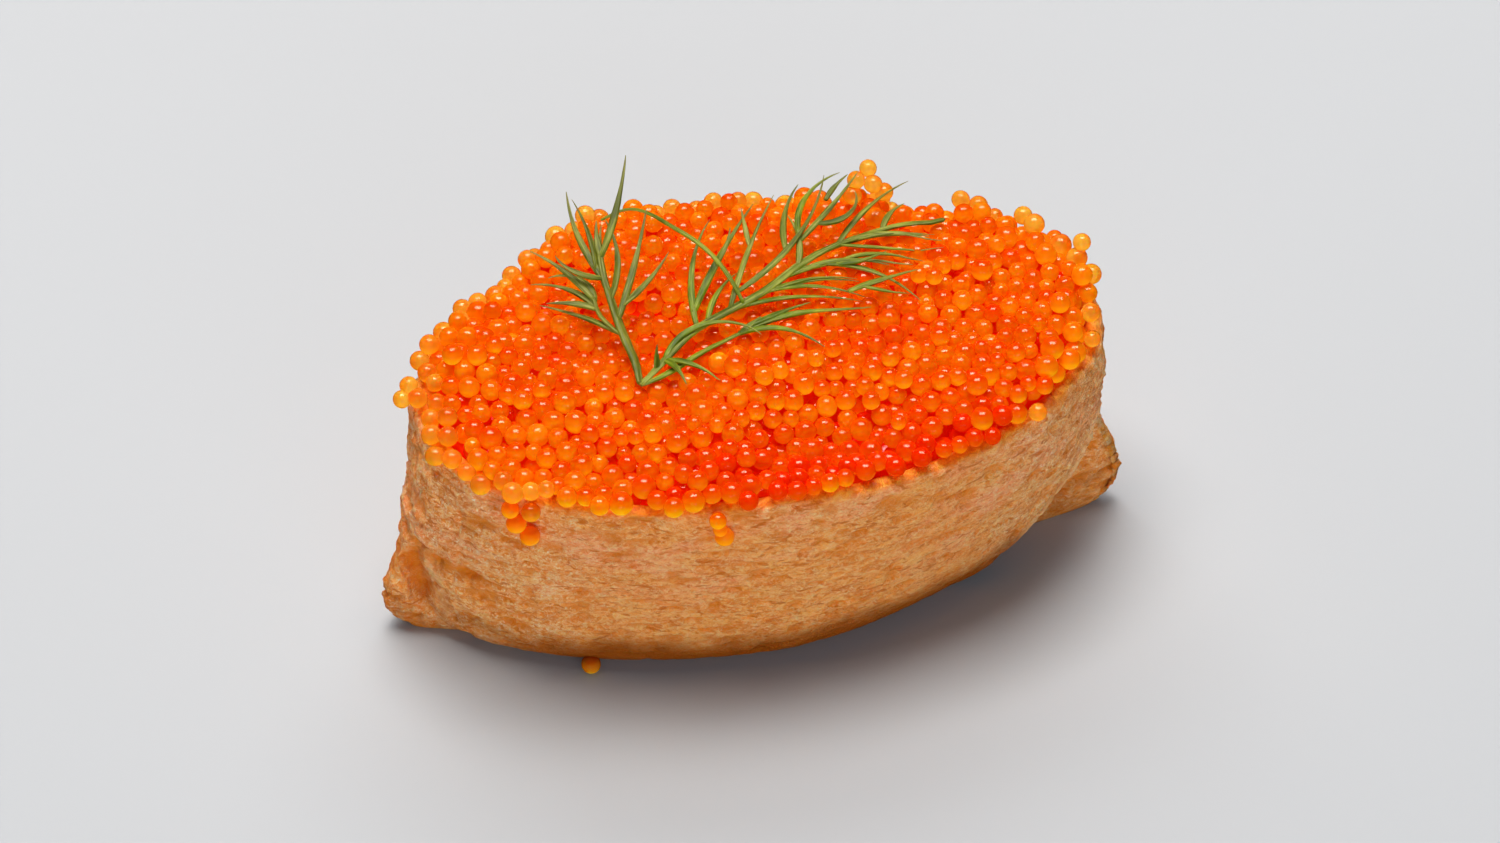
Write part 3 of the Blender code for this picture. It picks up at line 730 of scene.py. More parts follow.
def settle_eggs():
    spread = rng.uniform((-34, -19), (35, 24), (60000, 2))
    _, share, _ = plan(spread[:, 0], spread[:, 1], spill_inset)
    spread = spread[share < 0.985]
    area = len(spread) / 60000 * (69 * 43)
    wangle, wshare, _ = plan(spread[:, 0], spread[:, 1], wall_inset)
    floor_z = np.where(wshare < 0.97, core_top(spread[:, 0], spread[:, 1]),
                       rim_height(wangle))
    thick = np.maximum(heap_top(spread[:, 0], spread[:, 1]) - floor_z, 0.5)
    count = int(area * thick.mean() * 0.72 / (4.19 * 0.93 ** 3))
    spread = spread[rng.random(len(spread)) < thick / thick.max()]
    xy = spread[:count].copy()
    count = len(xy)
    radius = np.clip(rng.normal(0.93, 0.085, count), 0.72, 1.10)
    ragged = np.clip(rng.normal(0, 0.75, count), -0.6, 1.8)
    firm = 0.95      # eggs press into one another a little
    wangle, wshare, _ = plan(xy[:, 0], xy[:, 1], wall_inset)
    low = np.where(wshare < 0.97, core_top(xy[:, 0], xy[:, 1]), rim_height(wangle))
    high = np.maximum(heap_top(xy[:, 0], xy[:, 1]) - radius, low)
    z = low + (high - low) * rng.random(count)
    p = np.column_stack([xy, z])
    lid_rough = np.where(rng.random(count) < 0.35, rng.uniform(0.0, 0.5, count),
                         rng.uniform(-0.75, 0.1, count))
    pairs = None
    for step in range(130):
        if step % 8 == 0:
            order = np.argsort(p[:, 0])
            q = p[order]
            found = []
            for gap in range(1, 420):
                dx = q[gap:, 0] - q[:-gap, 0]
                near = np.nonzero(dx < 2.9)[0]
                if not len(near):
                    break
                d = q[near + gap] - q[near]
                close = (d * d).sum(1) < 2.9 ** 2
                found.append(np.stack([order[near[close]],
                                       order[near[close] + gap]], 1))
            pairs = np.concatenate(found)
        i, j = pairs[:, 0], pairs[:, 1]
        d = p[j] - p[i]
        dist = np.maximum(np.linalg.norm(d, axis=1), 1e-6)
        over = firm * (radius[i] + radius[j]) - dist
        hit = over > 0
        push = (d[hit] / dist[hit, None]) * (0.5 * over[hit])[:, None]
        move = np.zeros_like(p)
        hits = np.zeros(count)
        for axis in range(3):
            move[:, axis] -= np.bincount(i[hit], push[:, axis], count)
            move[:, axis] += np.bincount(j[hit], push[:, axis], count)
        hits += np.bincount(i[hit], minlength=count) + np.bincount(j[hit], minlength=count)
        p += move / np.maximum(1, 0.42 * hits)[:, None]
        if step > 40:
            p[:, 2] -= 0.012
        if step % 2 == 0 or step > 120:
            angle, share, reach = plan(p[:, 0], p[:, 1], spill_inset)
            limit = 1 - (0.75 * radius + ragged) / reach
            out = share > limit
            scale = np.where(out, limit / share, 1.0)
            p[:, 0] *= scale
            p[:, 1] = CENTRE_Y + (p[:, 1] - CENTRE_Y) * scale
            # the pouch's wall and rim carry what lies over them
            wangle, wshare, wreach = plan(p[:, 0], p[:, 1], wall_inset)
            rim = rim_height(wangle)
            past = wshare * wreach + radius - wreach      # mm into the wall
            below = rim + 0.25 - (p[:, 2] - radius * 0.9)
            stuck = (past > 0) & (below > 0)
            up = stuck & (below < past * 1.6)
            inward = stuck & ~up
            p[up, 2] += below[up]
            pull = np.where(inward, (wshare * wreach - past) / np.maximum(
                wshare * wreach, 1e-6), 1.0)
            p[:, 0] *= pull
            p[:, 1] = CENTRE_Y + (p[:, 1] - CENTRE_Y) * pull
            low = core_top(p[:, 0], p[:, 1])
            p[:, 2] = np.maximum(p[:, 2], np.where(wshare < 0.98, low + 0.2, -99))
            lid = heap_top(p[:, 0], p[:, 1]) - radius
            if step < 115:
                lid = lid + lid_rough
                p[:, 2] = np.minimum(p[:, 2], lid)
    return p, radius


def shown_share(p, radius, direction, cell=0.12):
    """Share of each egg's disc that nothing else hides, seen from a direction."""
    d = np.array(direction, float)
    d /= np.linalg.norm(d)
    u = np.cross((0.0, 0.0, 1.0) if abs(d[2]) < 0.9 else (1.0, 0.0, 0.0), d)
    u /= np.linalg.norm(u)
    v = np.cross(d, u)
    a, b, c = p @ u, p @ v, p @ d
    low_a, low_b = a.min() - 2, b.min() - 2
    shape = (int((a.max() + 2 - low_a) / cell) + 2, int((b.max() + 2 - low_b) / cell) + 2)
    height = np.full(shape, -1e9)
    owner = np.full(shape, -1)
    total = np.zeros(len(p))
    reach = int(1.2 / cell) + 1
    ga, gb = np.meshgrid(np.arange(-reach, reach + 1), np.arange(-reach, reach + 1),
                         indexing="ij")
    for k in range(len(p)):
        ia, ib = int((a[k] - low_a) / cell), int((b[k] - low_b) / cell)
        da = (ia + ga + 0.5) * cell + low_a - a[k]
        db = (ib + gb + 0.5) * cell + low_b - b[k]
        left = radius[k] ** 2 - da * da - db * db
        inside = left > 0
        total[k] = inside.sum()
        ja, jb = ia + ga[inside], ib + gb[inside]
        h = c[k] + np.sqrt(left[inside])
        over = h > height[ja, jb]
        height[ja[over], jb[over]] = h[over]
        owner[ja[over], jb[over]] = k
    seen = np.bincount(owner[owner >= 0], minlength=len(p))
    return seen / np.maximum(total, 1)


def icosphere(levels):
    t = (1 + 5 ** 0.5) / 2
    v = [(-1, t, 0), (1, t, 0), (-1, -t, 0), (1, -t, 0), (0, -1, t), (0, 1, t),
         (0, -1, -t), (0, 1, -t), (t, 0, -1), (t, 0, 1), (-t, 0, -1), (-t, 0, 1)]
    f = [(0, 11, 5), (0, 5, 1), (0, 1, 7), (0, 7, 10), (0, 10, 11), (1, 5, 9),
         (5, 11, 4), (11, 10, 2), (10, 7, 6), (7, 1, 8), (3, 9, 4), (3, 4, 2),
         (3, 2, 6), (3, 6, 8), (3, 8, 9), (4, 9, 5), (2, 4, 11), (6, 2, 10),
         (8, 6, 7), (9, 8, 1)]
    v = [np.array(p) / np.linalg.norm(p) for p in v]
    for _ in range(levels):
        seen, faces = {}, []
        for a, b, c in f:
            mids = []
            for i, j in ((a, b), (b, c), (c, a)):
                key = (min(i, j), max(i, j))
                if key not in seen:
                    seen[key] = len(v)
                    m = v[i] + v[j]
                    v.append(m / np.linalg.norm(m))
                mids.append(seen[key])
            ab, bc, ca = mids
            faces += [(a, ab, ca), (b, bc, ab), (c, ca, bc), (ab, bc, ca)]
        f = faces
    return np.array(v), np.array(f)


def make_eggs(name, centres, radii, tones_light_and_shade, material, levels=2):
    ball, faces = icosphere(levels)
    count = len(centres)
    # each egg is turned at random and a little out of round
    q = rng.normal(size=(count, 4))
    q /= np.linalg.norm(q, axis=1, keepdims=True)
    w, x, y, z = q.T
    turn = np.stack([
        np.stack([1 - 2 * (y * y + z * z), 2 * (x * y - z * w), 2 * (x * z + y * w)], -1),
        np.stack([2 * (x * y + z * w), 1 - 2 * (x * x + z * z), 2 * (y * z - x * w)], -1),
        np.stack([2 * (x * z - y * w), 2 * (y * z + x * w), 1 - 2 * (x * x + y * y)], -1)
    ], 1)
    stretch = 1 + rng.normal(0, 0.018, (count, 1, 3))
    points = np.einsum("nij,nkj->nki", turn, ball[None] * stretch)
    points = points * radii[:, None, None] + centres[:, None, :]
    index = faces[None] + (np.arange(count) * len(ball))[:, None, None]
    return new_mesh(name, points.reshape(-1, 3), index.reshape(-1, 3), material,
                    attributes={"tone_light_and_shade": np.repeat(tones_light_and_shade, len(ball))})


def make_core():
    """The mass of roe under the eggs that show."""
    rings, columns = 46, 200
    angle = 2 * np.pi * np.arange(columns) / columns
    pts = []
    for r in range(rings):
        share = (r + 1) / rings
        x, y = outline(angle, 1.0, WALL + 0.15)
        px, py = x * share, CENTRE_Y + (y - CENTRE_Y) * share
        pts.append(np.stack([px, py, core_top(px, py)], -1))
    top = np.array(pts)
    low = top[-1].copy()
    x, y = outline(angle, 0.62, WALL + 0.5)
    low = np.stack([x, y, np.full(columns, 13.0)], -1)
    rows = np.concatenate([[low], top[::-1]])
    points = rows.reshape(-1, 3)
    faces = grid_faces(len(rows), columns)
    k = np.arange(columns)
    nxt = (k + 1) % columns
    base = (len(rows) - 1) * columns
    points = np.vstack([points, [0, CENTRE_Y, core_top(np.array([0.0]),
                                                       np.array([CENTRE_Y]))[0]],
                        [0, CENTRE_Y, 13.0]])
    tris = np.vstack([faces[:, [0, 1, 2]], faces[:, [0, 2, 3]],
                      np.stack([base + k, base + nxt, np.full(columns, len(points) - 2)], -1),
                      np.stack([nxt, k, np.full(columns, len(points) - 1)], -1)])
    return new_mesh("roe_mass", points, tris, core_material())


# Eggs that stick out of the heap, hang on the rim or the wall, or lie by the
# foot: x, y, z, radius and how much light shines through them (painted light).
LOOSE = (
    (-31.7, 3.5, 26.2, 0.85, 0.95), (-32.5, 2.8, 25.3, 0.85, 1.0),
    (-31.1, 2.4, 25.5, 0.94, 0.65), (-30.7, -2.0, 24.9, 0.94, 0.8),
    (-30.7, -3.8, 23.9, 0.94, 0.8), (-27.4, -8.4, 23.9, 1.0, 0.65),
    (-24.8, -11.1, 21.0, 0.94, 0.5), (-23.7, -11.7, 19.8, 0.94, 0.45),
    (-25.2, -10.6, 22.4, 0.85, 0.5), (-23.5, -11.6, 22.6, 0.88, 0.45),
    (-7.6, -16.9, 23.0, 0.80, 0.6), (-7.0, -16.9, 20.9, 0.90, 0.75),
    (-7.4, -16.9, 21.9, 0.70, 0.7), (30.9, -3.6, 25.2, 0.80, 0.9),
    (23.6, -11.0, 24.2, 0.85, 0.85), (28.4, 11.3, 28.3, 0.89, 1.0),
    (32.3, 5.2, 29.3, 0.85, 1.0), (23.3, 14.9, 28.3, 0.89, 0.9),
    (15.0, 18.0, 31.2, 0.85, 1.0),
    (13.7, 17.4, 30.5, 0.89, 0.9), (15.2, 16.8, 30.2, 0.89, 0.9),
    (16.2, 16.5, 29.3, 0.89, 0.8), (13.2, 16.7, 29.3, 0.89, 0.8),
    (-30.4, -0.2, 25.2, 0.92, 0.8), (-29.4, -5.4, 24.7, 0.90, 0.7),
    (-29.3, -2.9, 25.2, 0.94, 0.6), (-28.4, -7.0, 24.4, 0.88, 0.7),
    (-29.6, 0.9, 25.9, 0.90, 0.6), (-29.0, -1.2, 26.0, 0.92, 0.55),
    (-18.4, -10.7, 0.93, 0.94, 0.5))


def add_loose(centres, radii):
    loose = np.array(LOOSE)
    gap = np.linalg.norm(centres[:, None] - loose[None, :, :3], axis=2)
    clear_of = (gap > 0.74 * (radii[:, None] + loose[None, :, 3])).all(1)
    through_light = np.concatenate([np.zeros(int(clear_of.sum())), loose[:, 4]])
    rest = np.full(len(through_light), False)
    rest[int(clear_of.sum()):] = (loose[:, 2] < 22.5) & (loose[:, 2] > 5)
    return (np.vstack([centres[clear_of], loose[:, :3]]),
            np.concatenate([radii[clear_of], loose[:, 3]]), through_light, rest)


# -------------------------------------------------------------------- the dill
# A stem: its foot, length, breadth, hue, and the heading and pitch of each
# equal part of it, in degrees. A leaflet: its foot, heading, length, bend along
# it, pitch, breadth and hue (0 grey green, 1 yellow green).
STEMS = {
    "left": ((-11.8, -3.9, 28.7), 13.8, 0.72, 0.0,
             ((88, 20), (102, 20), (98, 20), (94, 20), (96, 20), (88, 20))),
    "right": ((-11.8, -4.0, 28.7), 35.8, 0.62, 0.45,
             ((40, 8), (41, 8), (19, 7), (21, 5), (35, 4), (28, 2), (14, 0), (15, -2), (-6, -4))),
    "lower": ((-11.8, -4.0, 28.7), 11.1, 0.5, 0.8,
             ((15, 5), (26, 5), (24, 5), (13, 5))),
    "side": ((-12.4, 1.1, 30.5), 4.8, 0.48, 0.0,
             ((129, 14), (118, 14), (88, 14))),
    "arch": ((-0.6, 2.7, 30.5), 18.5, 0.36, 0.75,
             ((107, 30), (118, 28), (130, 20), (131, 5), (120, -4), (131, -11), (-179, -23))),
}
LEAVES = (
    (-11.8, 2.7, 31.0, 64, 11.5, 5, 22, 0.5, 0.05),
    (-11.5, 3.0, 31.2, 40, 7.8, 14, 14, 0.5, 0.05),
    (-12.3, 4.8, 31.8, 59, 8.2, 50, 24, 0.5, 0.05),
    (-12.6, 5.1, 32.0, 99, 7.6, -29, 18, 0.5, 0.05),
    (-12.5, 8.9, 33.4, 97, 3.9, -20, 20, 0.5, 0.05),
    (-12.4, 8.8, 33.4, 56, 10.3, 17, 28, 0.52, 0.05),
    (-13.3, 6.5, 32.5, 109, 10.5, -26, 16, 0.5, 0.05),
    (-13.2, 8.1, 33.2, 86, 7.2, 24, 22, 0.5, 0.05),
    (-13.5, 5.3, 32.2, 124, 8.1, 15, 8, 0.5, 0.05),
    (-13.4, 6.7, 32.6, 185, 4.9, -82, 18, 0.5, 0.05),
    (-14.0, 5.2, 31.7, 81, 5.9, 127, 10, 0.5, 0.05),
    (-14.0, 4.1, 31.4, 108, 7.3, 69, 4, 0.5, 0.05),
    (-14.2, 4.1, 31.4, 148, 4.6, 34, 8, 0.5, 0.05),
    (-13.0, 1.0, 30.5, 126, 8.2, 22, 2, 0.5, 0.05),
    (-5.8, 2.5, 29.8, 88, 11.4, -42, 16, 0.46, 0.95),
    (-5.4, 2.6, 29.9, 59, 14.0, -12, 13, 0.52, 0.95),
    (-1.6, 7.0, 32.0, 57, 3.9, 18, 20, 0.38, 0.25),
    (-4.4, 2.2, 30.1, 68, 6.1, -41, 8, 0.46, 0.95),
    (-1.9, 2.4, 30.3, 65, 13.4, -12, 15, 0.46, 0.25),
    (1.8, 8.9, 32.3, 106, 3.9, -21, 20, 0.38, 0.25),
    (-1.1, 4.0, 30.4, 23, 17.2, 47, 9, 0.46, 0.25),
    (9.7, 13.3, 32.3, 51, 3.7, -22, 12, 0.38, 0.25),
    (3.4, 8.4, 30.9, 74, 8.5, -30, 14, 0.46, 0.25),
    (4.8, 6.4, 30.9, 52, 5.9, 57, 16, 0.46, 0.25),
    (6.1, 9.8, 31.6, 86, 9.1, -77, 10, 0.46, 0.95),
    (6.1, 8.6, 31.6, 38, 10.3, 10, 10, 0.46, 0.25),
    (8.0, 10.3, 31.7, -32, 6.7, 128, 12, 0.46, 0.25),
    (10.1, 8.6, 31.1, 53, 9.9, -35, 7, 0.46, 0.25),
    (14.6, 9.7, 31.0, 75, 3.6, -62, 8, 0.46, 0.25),
    (9.8, 6.1, 31.1, 44, 10.3, -83, -2, 0.38, 0.25),
    (9.5, 7.6, 31.1, -11, 9.9, -2, -4, 0.38, 0.6),
    (3.6, 5.2, 30.8, 26, 12.9, -58, -3, 0.46, 0.6),
    (9.7, 5.9, 31.1, 24, 7.9, -69, -6, 0.38, 0.6),
    (7.6, 5.2, 31.0, 3, 10.1, -72, -7, 0.38, 0.6),
    (1.0, 2.7, 30.6, 34, 10.0, -57, -2, 0.46, 0.6),
    (9.0, 1.6, 31.1, 16, 7.2, -6, -1, 0.46, 0.6),
    (10.4, 1.7, 31.1, -27, 4.3, 15, -3, 0.38, 0.6),
    (1.3, 2.8, 30.6, 24, 9.9, -61, -4, 0.38, 0.95),
    (-1.2, 1.6, 30.4, 22, 11.8, -46, -3, 0.46, 0.95),
    (6.8, 7.1, 31.0, 30, 9.0, -40, -2, 0.42, 0.3),
    (11.0, 8.7, 31.1, 8, 8.0, -30, -2, 0.40, 0.3),
    (5.6, 5.9, 31.0, 18, 8.5, -48, -4, 0.42, 0.6),
    (2.6, 3.9, 30.8, 20, 8.0, -40, -3, 0.42, 0.8),
    (13.6, 9.3, 31.1, -16, 5.0, -6, -3, 0.38, 0.4),
    (8.6, 4.5, 31.1, 8, 5.6, 22, 0, 0.38, 0.9),
    (-0.9, -0.4, 30.4, 40, 1.9, 0, 0, 0.46, 0.95),
    (-0.4, -0.4, 30.5, 23, 6.2, -6, -1, 0.46, 0.95),
    (-1.8, -0.6, 29.6, 18, 12.9, -25, -1, 0.52, 0.95),
    (-1.8, -0.7, 29.6, 6, 8.2, -58, -5, 0.46, 0.95),
    (-9.7, -1.6, 31.2, 58, 11.6, -118, -3, 0.46, 0.95),
    (-9.7, -1.6, 31.2, -52, 4.8, -29, -20, 0.46, 0.95),
    (-9.7, -1.6, 31.2, -22, 6.8, -36, -17, 0.46, 0.95),
    (-10.0, -2.2, 28.9, 64, 2.4, 0, 73, 0.42, 0.6),
)


# how far the whole sprig is laid down onto the roe, mm
LAY = 1.7 * np.array((0.246, 1.043, -1.0))


def walk(foot, length, headings, pitches):
    foot = np.array(foot) + LAY
    steps = len(headings)
    head, rise = np.radians(headings), np.radians(pitches)
    step = np.stack([np.cos(head) * np.cos(rise), np.sin(head) * np.cos(rise),
                     np.sin(rise)], -1) * (length / steps)
    return np.vstack([foot, foot + np.cumsum(step, axis=0)])


def blade(line, breadth, pointed, seed, grown=None):
    """A tapered, slightly flattened leaflet or stem along a line of points; a
    leaflet starts on the nearest of the points grown before it."""
    wave = np.random.default_rng(seed)
    count = len(line)
    share = np.linspace(0, 1, count)
    for axis in (0, 1):
        phase, much = wave.uniform(0, 6.3), wave.uniform(0.03, 0.09)
        line[:, axis] += much * np.sin(share * wave.uniform(4, 8) + phase) * share * (
            1.2 - share)
    if grown is not None:
        away = np.linalg.norm((grown - line[0]) * (1.0, 1.0, 0.6), axis=1)
        nearest = int(np.argmin(away))
        if away[nearest] < 3.2:
            line += (grown[nearest] - line[0]) * ((1 - share) ** 1.6)[:, None]
    floor = heap_top(line[:, 0], line[:, 1]) - 0.42 + 0.4 * breadth
    line[:, 2] = np.maximum(line[:, 2], floor)
    along = np.gradient(line, axis=0)
    along /= np.linalg.norm(along, axis=1, keepdims=True)
    side = np.cross((0.0, 0.0, 1.0), along)
    side /= np.maximum(np.linalg.norm(side, axis=1, keepdims=True), 1e-6)
    roll = wave.normal(0, 0.30)
    up = np.cross(along, side)
    side, up = (side * math.cos(roll) + up * math.sin(roll),
                up * math.cos(roll) - side * math.sin(roll))
    if pointed:
        size = (0.64 + 0.36 * np.sin(np.pi * np.minimum(1.5 * share, 1.0))) * (
            1 - share ** 2.6) ** 0.85 + 0.10
    else:
        size = 1.0 - 0.35 * share + 0.18 * bell(share, 0.45, 0.25)
        size *= 0.72 + 0.28 * smooth(0.0, 0.2, share)
    size = 0.68 * breadth * size * (1 + wave.normal(0, 0.03, count))
    around_it = 2 * np.pi * np.arange(10) / 10
    c, d = np.cos(around_it), np.sin(around_it)
    # a shallow groove along the top
    thick = 0.62 * d * (1 - 0.30 * bell(around_it, math.pi / 2, 0.5))
    ring = (line[:, None] + size[:, None, None] * (
        c[None, :, None] * side[:, None] + thick[None, :, None] * up[:, None]))
    points = ring.reshape(-1, 3)
    faces = grid_faces(count, 10)
    n0, n1 = len(points), len(points) + 1
    points = np.vstack([points, line[0] - 0.15 * size[0] * along[0],
                        line[-1] + 0.9 * size[-1] * along[-1]])
    k = np.arange(10)
    nxt = (k + 1) % 10
    base = (count - 1) * 10
    tris = np.vstack([faces[:, [0, 1, 2]], faces[:, [0, 2, 3]],
                      np.stack([nxt, k, np.full(10, n0)], -1),
                      np.stack([base + k, base + nxt, np.full(10, n1)], -1)])
    run = np.concatenate([[0], np.cumsum(np.linalg.norm(np.diff(line, axis=0), axis=1))])
    leaf = np.stack([np.repeat(run, 10), np.tile(c * 0.4, count),
                     np.full(count * 10, seed * 3.7)], -1)
    leaf = np.vstack([leaf, leaf[0], leaf[-1]])
    tip = np.concatenate([np.repeat(share if pointed else 0 * share, 10), [0.0],
                          [1.0 if pointed else 0.0]])
    return points, tris, leaf, tip


def make_dill():
    parts, lines, seed = [], [], 100
    for foot, length, breadth, hue, course in STEMS.values():
        seed += 1
        marks = (np.arange(len(course)) + 0.5) / len(course)
        t = (np.arange(30) + 0.5) / 30
        head = np.interp(t, marks, np.unwrap(np.radians([c[0] for c in course])))
        rise = np.interp(t, marks, [c[1] for c in course])
        line = walk(foot, length, np.degrees(head), rise)
        parts.append((*blade(line, breadth, False, seed), hue))
        lines.append(line[1:-1])
    for x, y, z, heading, length, bend, pitch, breadth, hue in LEAVES:
        seed += 1
        t = (np.arange(15) + 0.5) / 15
        line = walk((x, y, z), length, heading + bend * t, pitch + 3 - 6 * t)
        parts.append((*blade(line, breadth, True, seed, np.vstack(lines)), hue))
        lines.append(line[2:9])
    points, tris, leaf, tip, hues, base = [], [], [], [], [], 0
    for part_points, part_tris, part_leaf, part_tip, hue in parts:
        points.append(part_points)
        tris.append(part_tris + base)
        leaf.append(part_leaf)
        tip.append(part_tip)
        hues.append(np.full(len(part_points), hue))
        base += len(part_points)
    return new_mesh("dill_fronds", np.vstack(points), np.vstack(tris),
                    dill_material(), attributes={
                        "leaf": np.vstack(leaf), "tip": np.concatenate(tip),
                        "hue": np.concatenate(hues)})


# -------------------------------------------------------------------- assembly
pouch = make_pouch()
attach(pouch, "root")
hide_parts("tofu_pouch")

core = make_core()
centres, radii = settle_eggs()
# the rim shows bare at the right end
on_rim = (centres[:, 0] > 31.25) & (centres[:, 1] < 0.6) & (centres[:, 2] > 23)
centres, radii = centres[~on_rim], radii[~on_rim]
centres, radii, let_through, on_wall = add_loose(centres, radii)
open_up = shown_share(centres, radii, (0.0, 0.0, 1.0))
open_front = shown_share(centres, radii, (-0.17, -0.71, 0.68))
_, out_share, _ = plan(centres[:, 0], centres[:, 1], spill_inset)
at_edge = smooth(0.87, 0.98, out_share)
# painted shade: eggs that others hide from above and from the front, and those at the near edge
# under the rim, get a lower, redder tone; painted light: eggs at the thin edges get a higher,
# amber one; each egg's tone also varies at random
tone_light_and_shade = 0.50 - 0.42 * smooth(0.5, 0.0, np.maximum(open_up, open_front))
thin_side = np.clip(smooth(-14, -26, centres[:, 0]) + smooth(4, 10, centres[:, 1])
                    + smooth(24, 31, centres[:, 0]), 0, 1)
tone_light_and_shade -= 0.36 * smooth(-6, -13, centres[:, 1]) * smooth(-18, -4, centres[:, 0])
tone_light_and_shade = tone_light_and_shade + (0.08 + 0.28 * at_edge) * thin_side + rng.normal(0, 0.12, len(tone_light_and_shade))
tone_light_and_shade = np.where(let_through > 0, let_through, np.clip(tone_light_and_shade, 0, 1))
top_low = heap_top(centres[:, 0], centres[:, 1]) - centres[:, 2] < 2.2
thin = ((at_edge * thin_side > 0.62) & top_low & (rng.random(len(tone_light_and_shade)) < 0.85)) | (
    let_through > 0.7)
thin &= ~on_wall
# eggs open to view from above or the front take the lit copies, hidden ones the shaded deep copy:
# painted light and shade
clear = ((open_up > 0.30) | (open_front > 0.34) | (at_edge > 0.5)) & ~thin & ~on_wall
deep = ~clear & ~thin & ~on_wall
print("eggs", len(centres), "clear", int(clear.sum()), "thin", int(thin.sum()))
roe_pieces = []
# lit and shaded copies of one egg look: the painted glow of the deep eggs and of the mass
# beneath, with the light that comes through the clear eggs, keeps the gaps between them orange
LOOKS = {
    "wall": egg_material("roe_egg_wall", (0.87, 0.20, 0.003), (1.0, 0.46, 0.010),
                         (0.85, 0.14, 0.002), (0.97, 0.40, 0.010),
                         (0.14, 0.018, 0.0), (0.25, 0.075, 0.0), 0.36),
    # painted light: the amber copy for eggs at the thin edges, where light shines through
    "thin": egg_material("roe_egg_thin", (0.86, 0.24, 0.003), (1.0, 0.58, 0.030),
                         (0.82, 0.16, 0.001), (1.0, 0.54, 0.050),
                         (0.07, 0.012, 0.0), (0.22, 0.10, 0.001), 0.60),
    "clear": egg_material("roe_egg_clear", (0.82, 0.160, 0.0), (0.98, 0.60, 0.006),
                          (0.72, 0.026, 0.0), (0.96, 0.40, 0.007),
                          (0.09, 0.003, 0.0), (0.23, 0.060, 0.0), 0.33),
    # painted shade: the shaded copy for eggs hidden in the heap, redder, with a red painted glow
    "deep": egg_material("roe_egg_deep_shaded", (0.70, 0.024, 0.0), (0.80, 0.15, 0.001),
                         (0.62, 0.008, 0.0), (0.86, 0.22, 0.002),
                         (0.15, 0.001, 0.0), (0.22, 0.010, 0.0)),
    # painted shade: a darker copy with little painted glow, for the egg in the shade by the foot
    "stray": egg_material("roe_egg_stray_shaded", (0.66, 0.15, 0.004), (0.82, 0.30, 0.010),
                          (0.60, 0.10, 0.003), (0.80, 0.26, 0.010),
                          (0.0, 0.0, 0.0), (0.05, 0.012, 0.0), 0.25)}
stray = centres[:, 2] < 5
thin, clear, deep = thin & ~stray, clear & ~stray, deep & ~stray
for label, which, parts in (("wall", on_wall, "a"), ("thin", thin, "a"), ("clear", clear, "abc"),
                            ("deep", deep, "ab"), ("stray", stray, "a")):
    index = np.nonzero(which)[0]
    for k, part in enumerate(parts):
        pick = index[k::len(parts)]
        roe_pieces.append(make_eggs(f"roe_eggs_{label}_{part}", centres[pick],
                                    radii[pick], tone_light_and_shade[pick], LOOKS[label]))
for piece in [core, *roe_pieces]:
    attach(piece, "root")
    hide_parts("tobiko")

dill = make_dill()
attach(dill, "root")
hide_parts("dill_sprig")

# ------------------------------------------------------- floor, light and camera
floor_mesh = bpy.data.meshes.new("floor")
side = 3.0
floor_mesh.from_pydata([(-side, -side, 0), (side, -side, 0), (side, side, 0),
                        (-side, side, 0)], [], [(0, 1, 2, 3)])
floor = bpy.data.objects.new("floor", floor_mesh)
n = Nodes("pale_floor")
floor_mesh.materials.append(n.finish(n.node("ShaderNodeBsdfPrincipled", {
    "Base Color": (0.490, 0.520, 0.560, 1), "Roughness": 0.8,
    "Specular IOR Level": 0.0}).outputs[0]))
bpy.context.scene.collection.objects.link(floor)
floor.visible_glossy = False

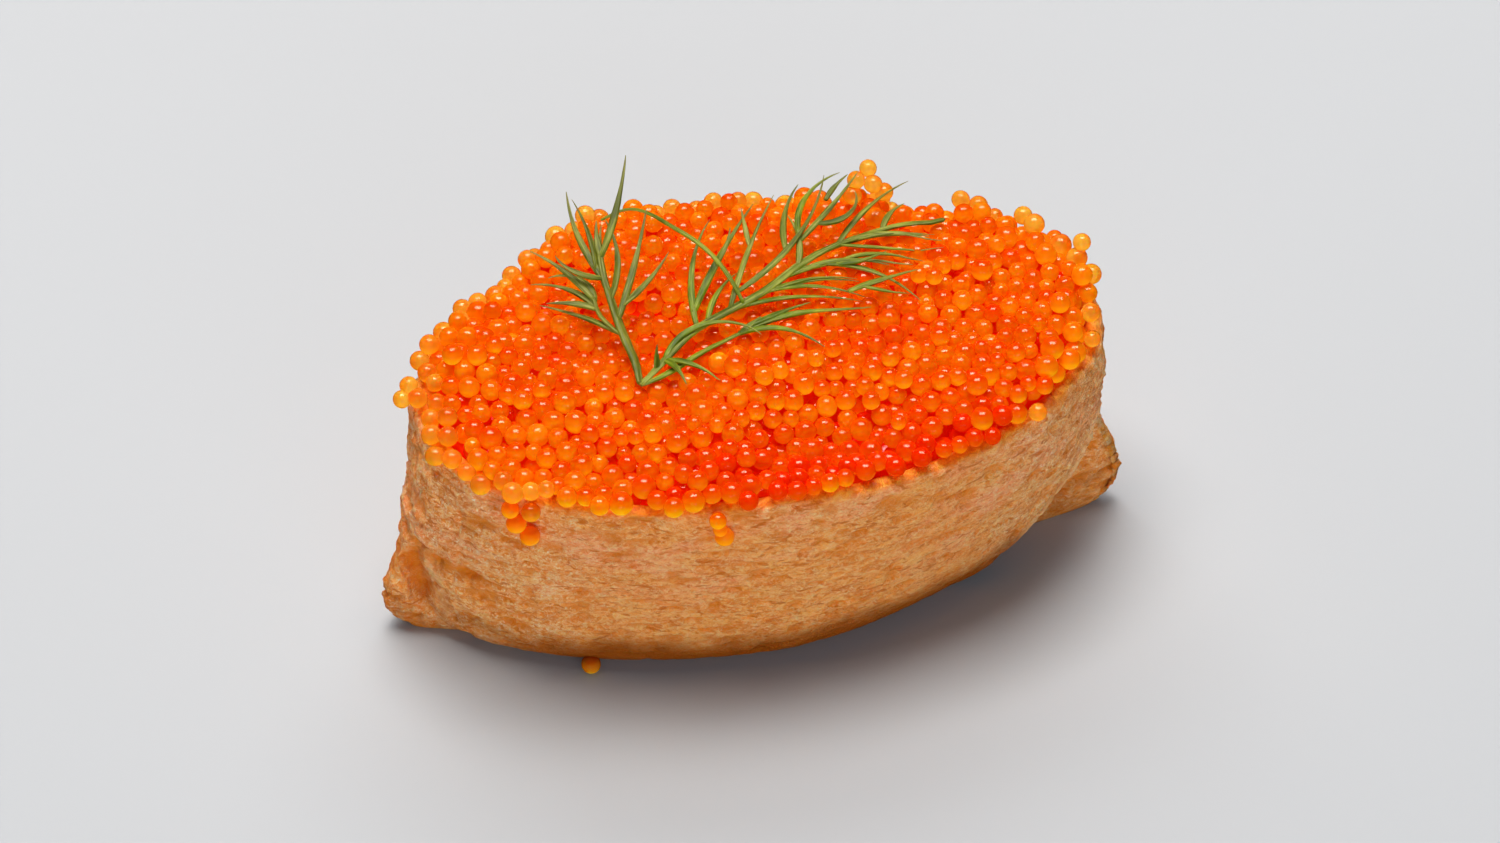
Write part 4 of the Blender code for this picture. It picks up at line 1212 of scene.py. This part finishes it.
world = bpy.data.worlds.new("studio")
bpy.context.scene.world = world
world.use_nodes = True
world.node_tree.nodes["Background"].inputs[0].default_value = (0.76, 0.95, 1.12, 1)
world.node_tree.nodes["Background"].inputs[1].default_value = 0.066
world.cycles_visibility.glossy = False


def area_light(name, place, aim, size, size_y, power_w, colour=(1, 1, 1),
               gloss=False):
    data = bpy.data.lights.new(name, "AREA")
    data.shape = "RECTANGLE"
    data.size, data.size_y = size, size_y
    data.energy = power_w
    data.color = colour
    light = bpy.data.objects.new(name, data)
    light.location = place
    light.rotation_euler = (Vector(aim) - Vector(place)).to_track_quat(
        "-Z", "Y").to_euler()
    light.visible_glossy = gloss
    light.visible_diffuse = light.visible_transmission = not gloss
    light.visible_volume_scatter = not gloss
    bpy.context.scene.collection.objects.link(light)
    return light


# a softbox over the food, a little behind it, a weaker one further back, and a
# broad low one in front
area_light("key", (-0.05, 0.11, 0.76), (0, 0, 0.01), 0.50, 0.34, 6.2,
           (1.0, 0.935, 0.865))
area_light("softbox_shine", (0.02, 0.085, 0.76), (0, 0, 0.02), 0.66, 0.32, 7.5,
           gloss=True)
area_light("back", (0.08, 0.62, 0.62), (0, 0, 0.01), 0.9, 0.5, 5.0,
           (1.0, 0.935, 0.875))
area_light("fill", (-0.08, -0.90, 0.125), (0, 0, 0.015), 1.1, 0.22, 5.3,
           (0.89, 1.00, 1.06))

AZIMUTH, ELEVATION, DISTANCE = -13.29, 43.0, 400.0
azimuth, elevation = math.radians(AZIMUTH), math.radians(ELEVATION)
back = np.array([math.sin(azimuth) * math.cos(elevation),
                 -math.cos(azimuth) * math.cos(elevation), math.sin(elevation)])
aim = np.array([0.12, 3.40, 15.0])
camera_data = bpy.data.cameras.new("camera")
camera_data.lens = 102.3
camera_data.sensor_width = 36.0
camera_data.clip_start = 0.01
camera = bpy.data.objects.new("camera", camera_data)
camera.location = tuple((aim + back * DISTANCE + SHIFT) * MM)
camera.rotation_euler = (math.pi / 2 - elevation, 0.0, azimuth)
bpy.context.scene.collection.objects.link(camera)
bpy.context.scene.camera = camera
bpy.context.scene.view_settings.view_transform = "Standard"
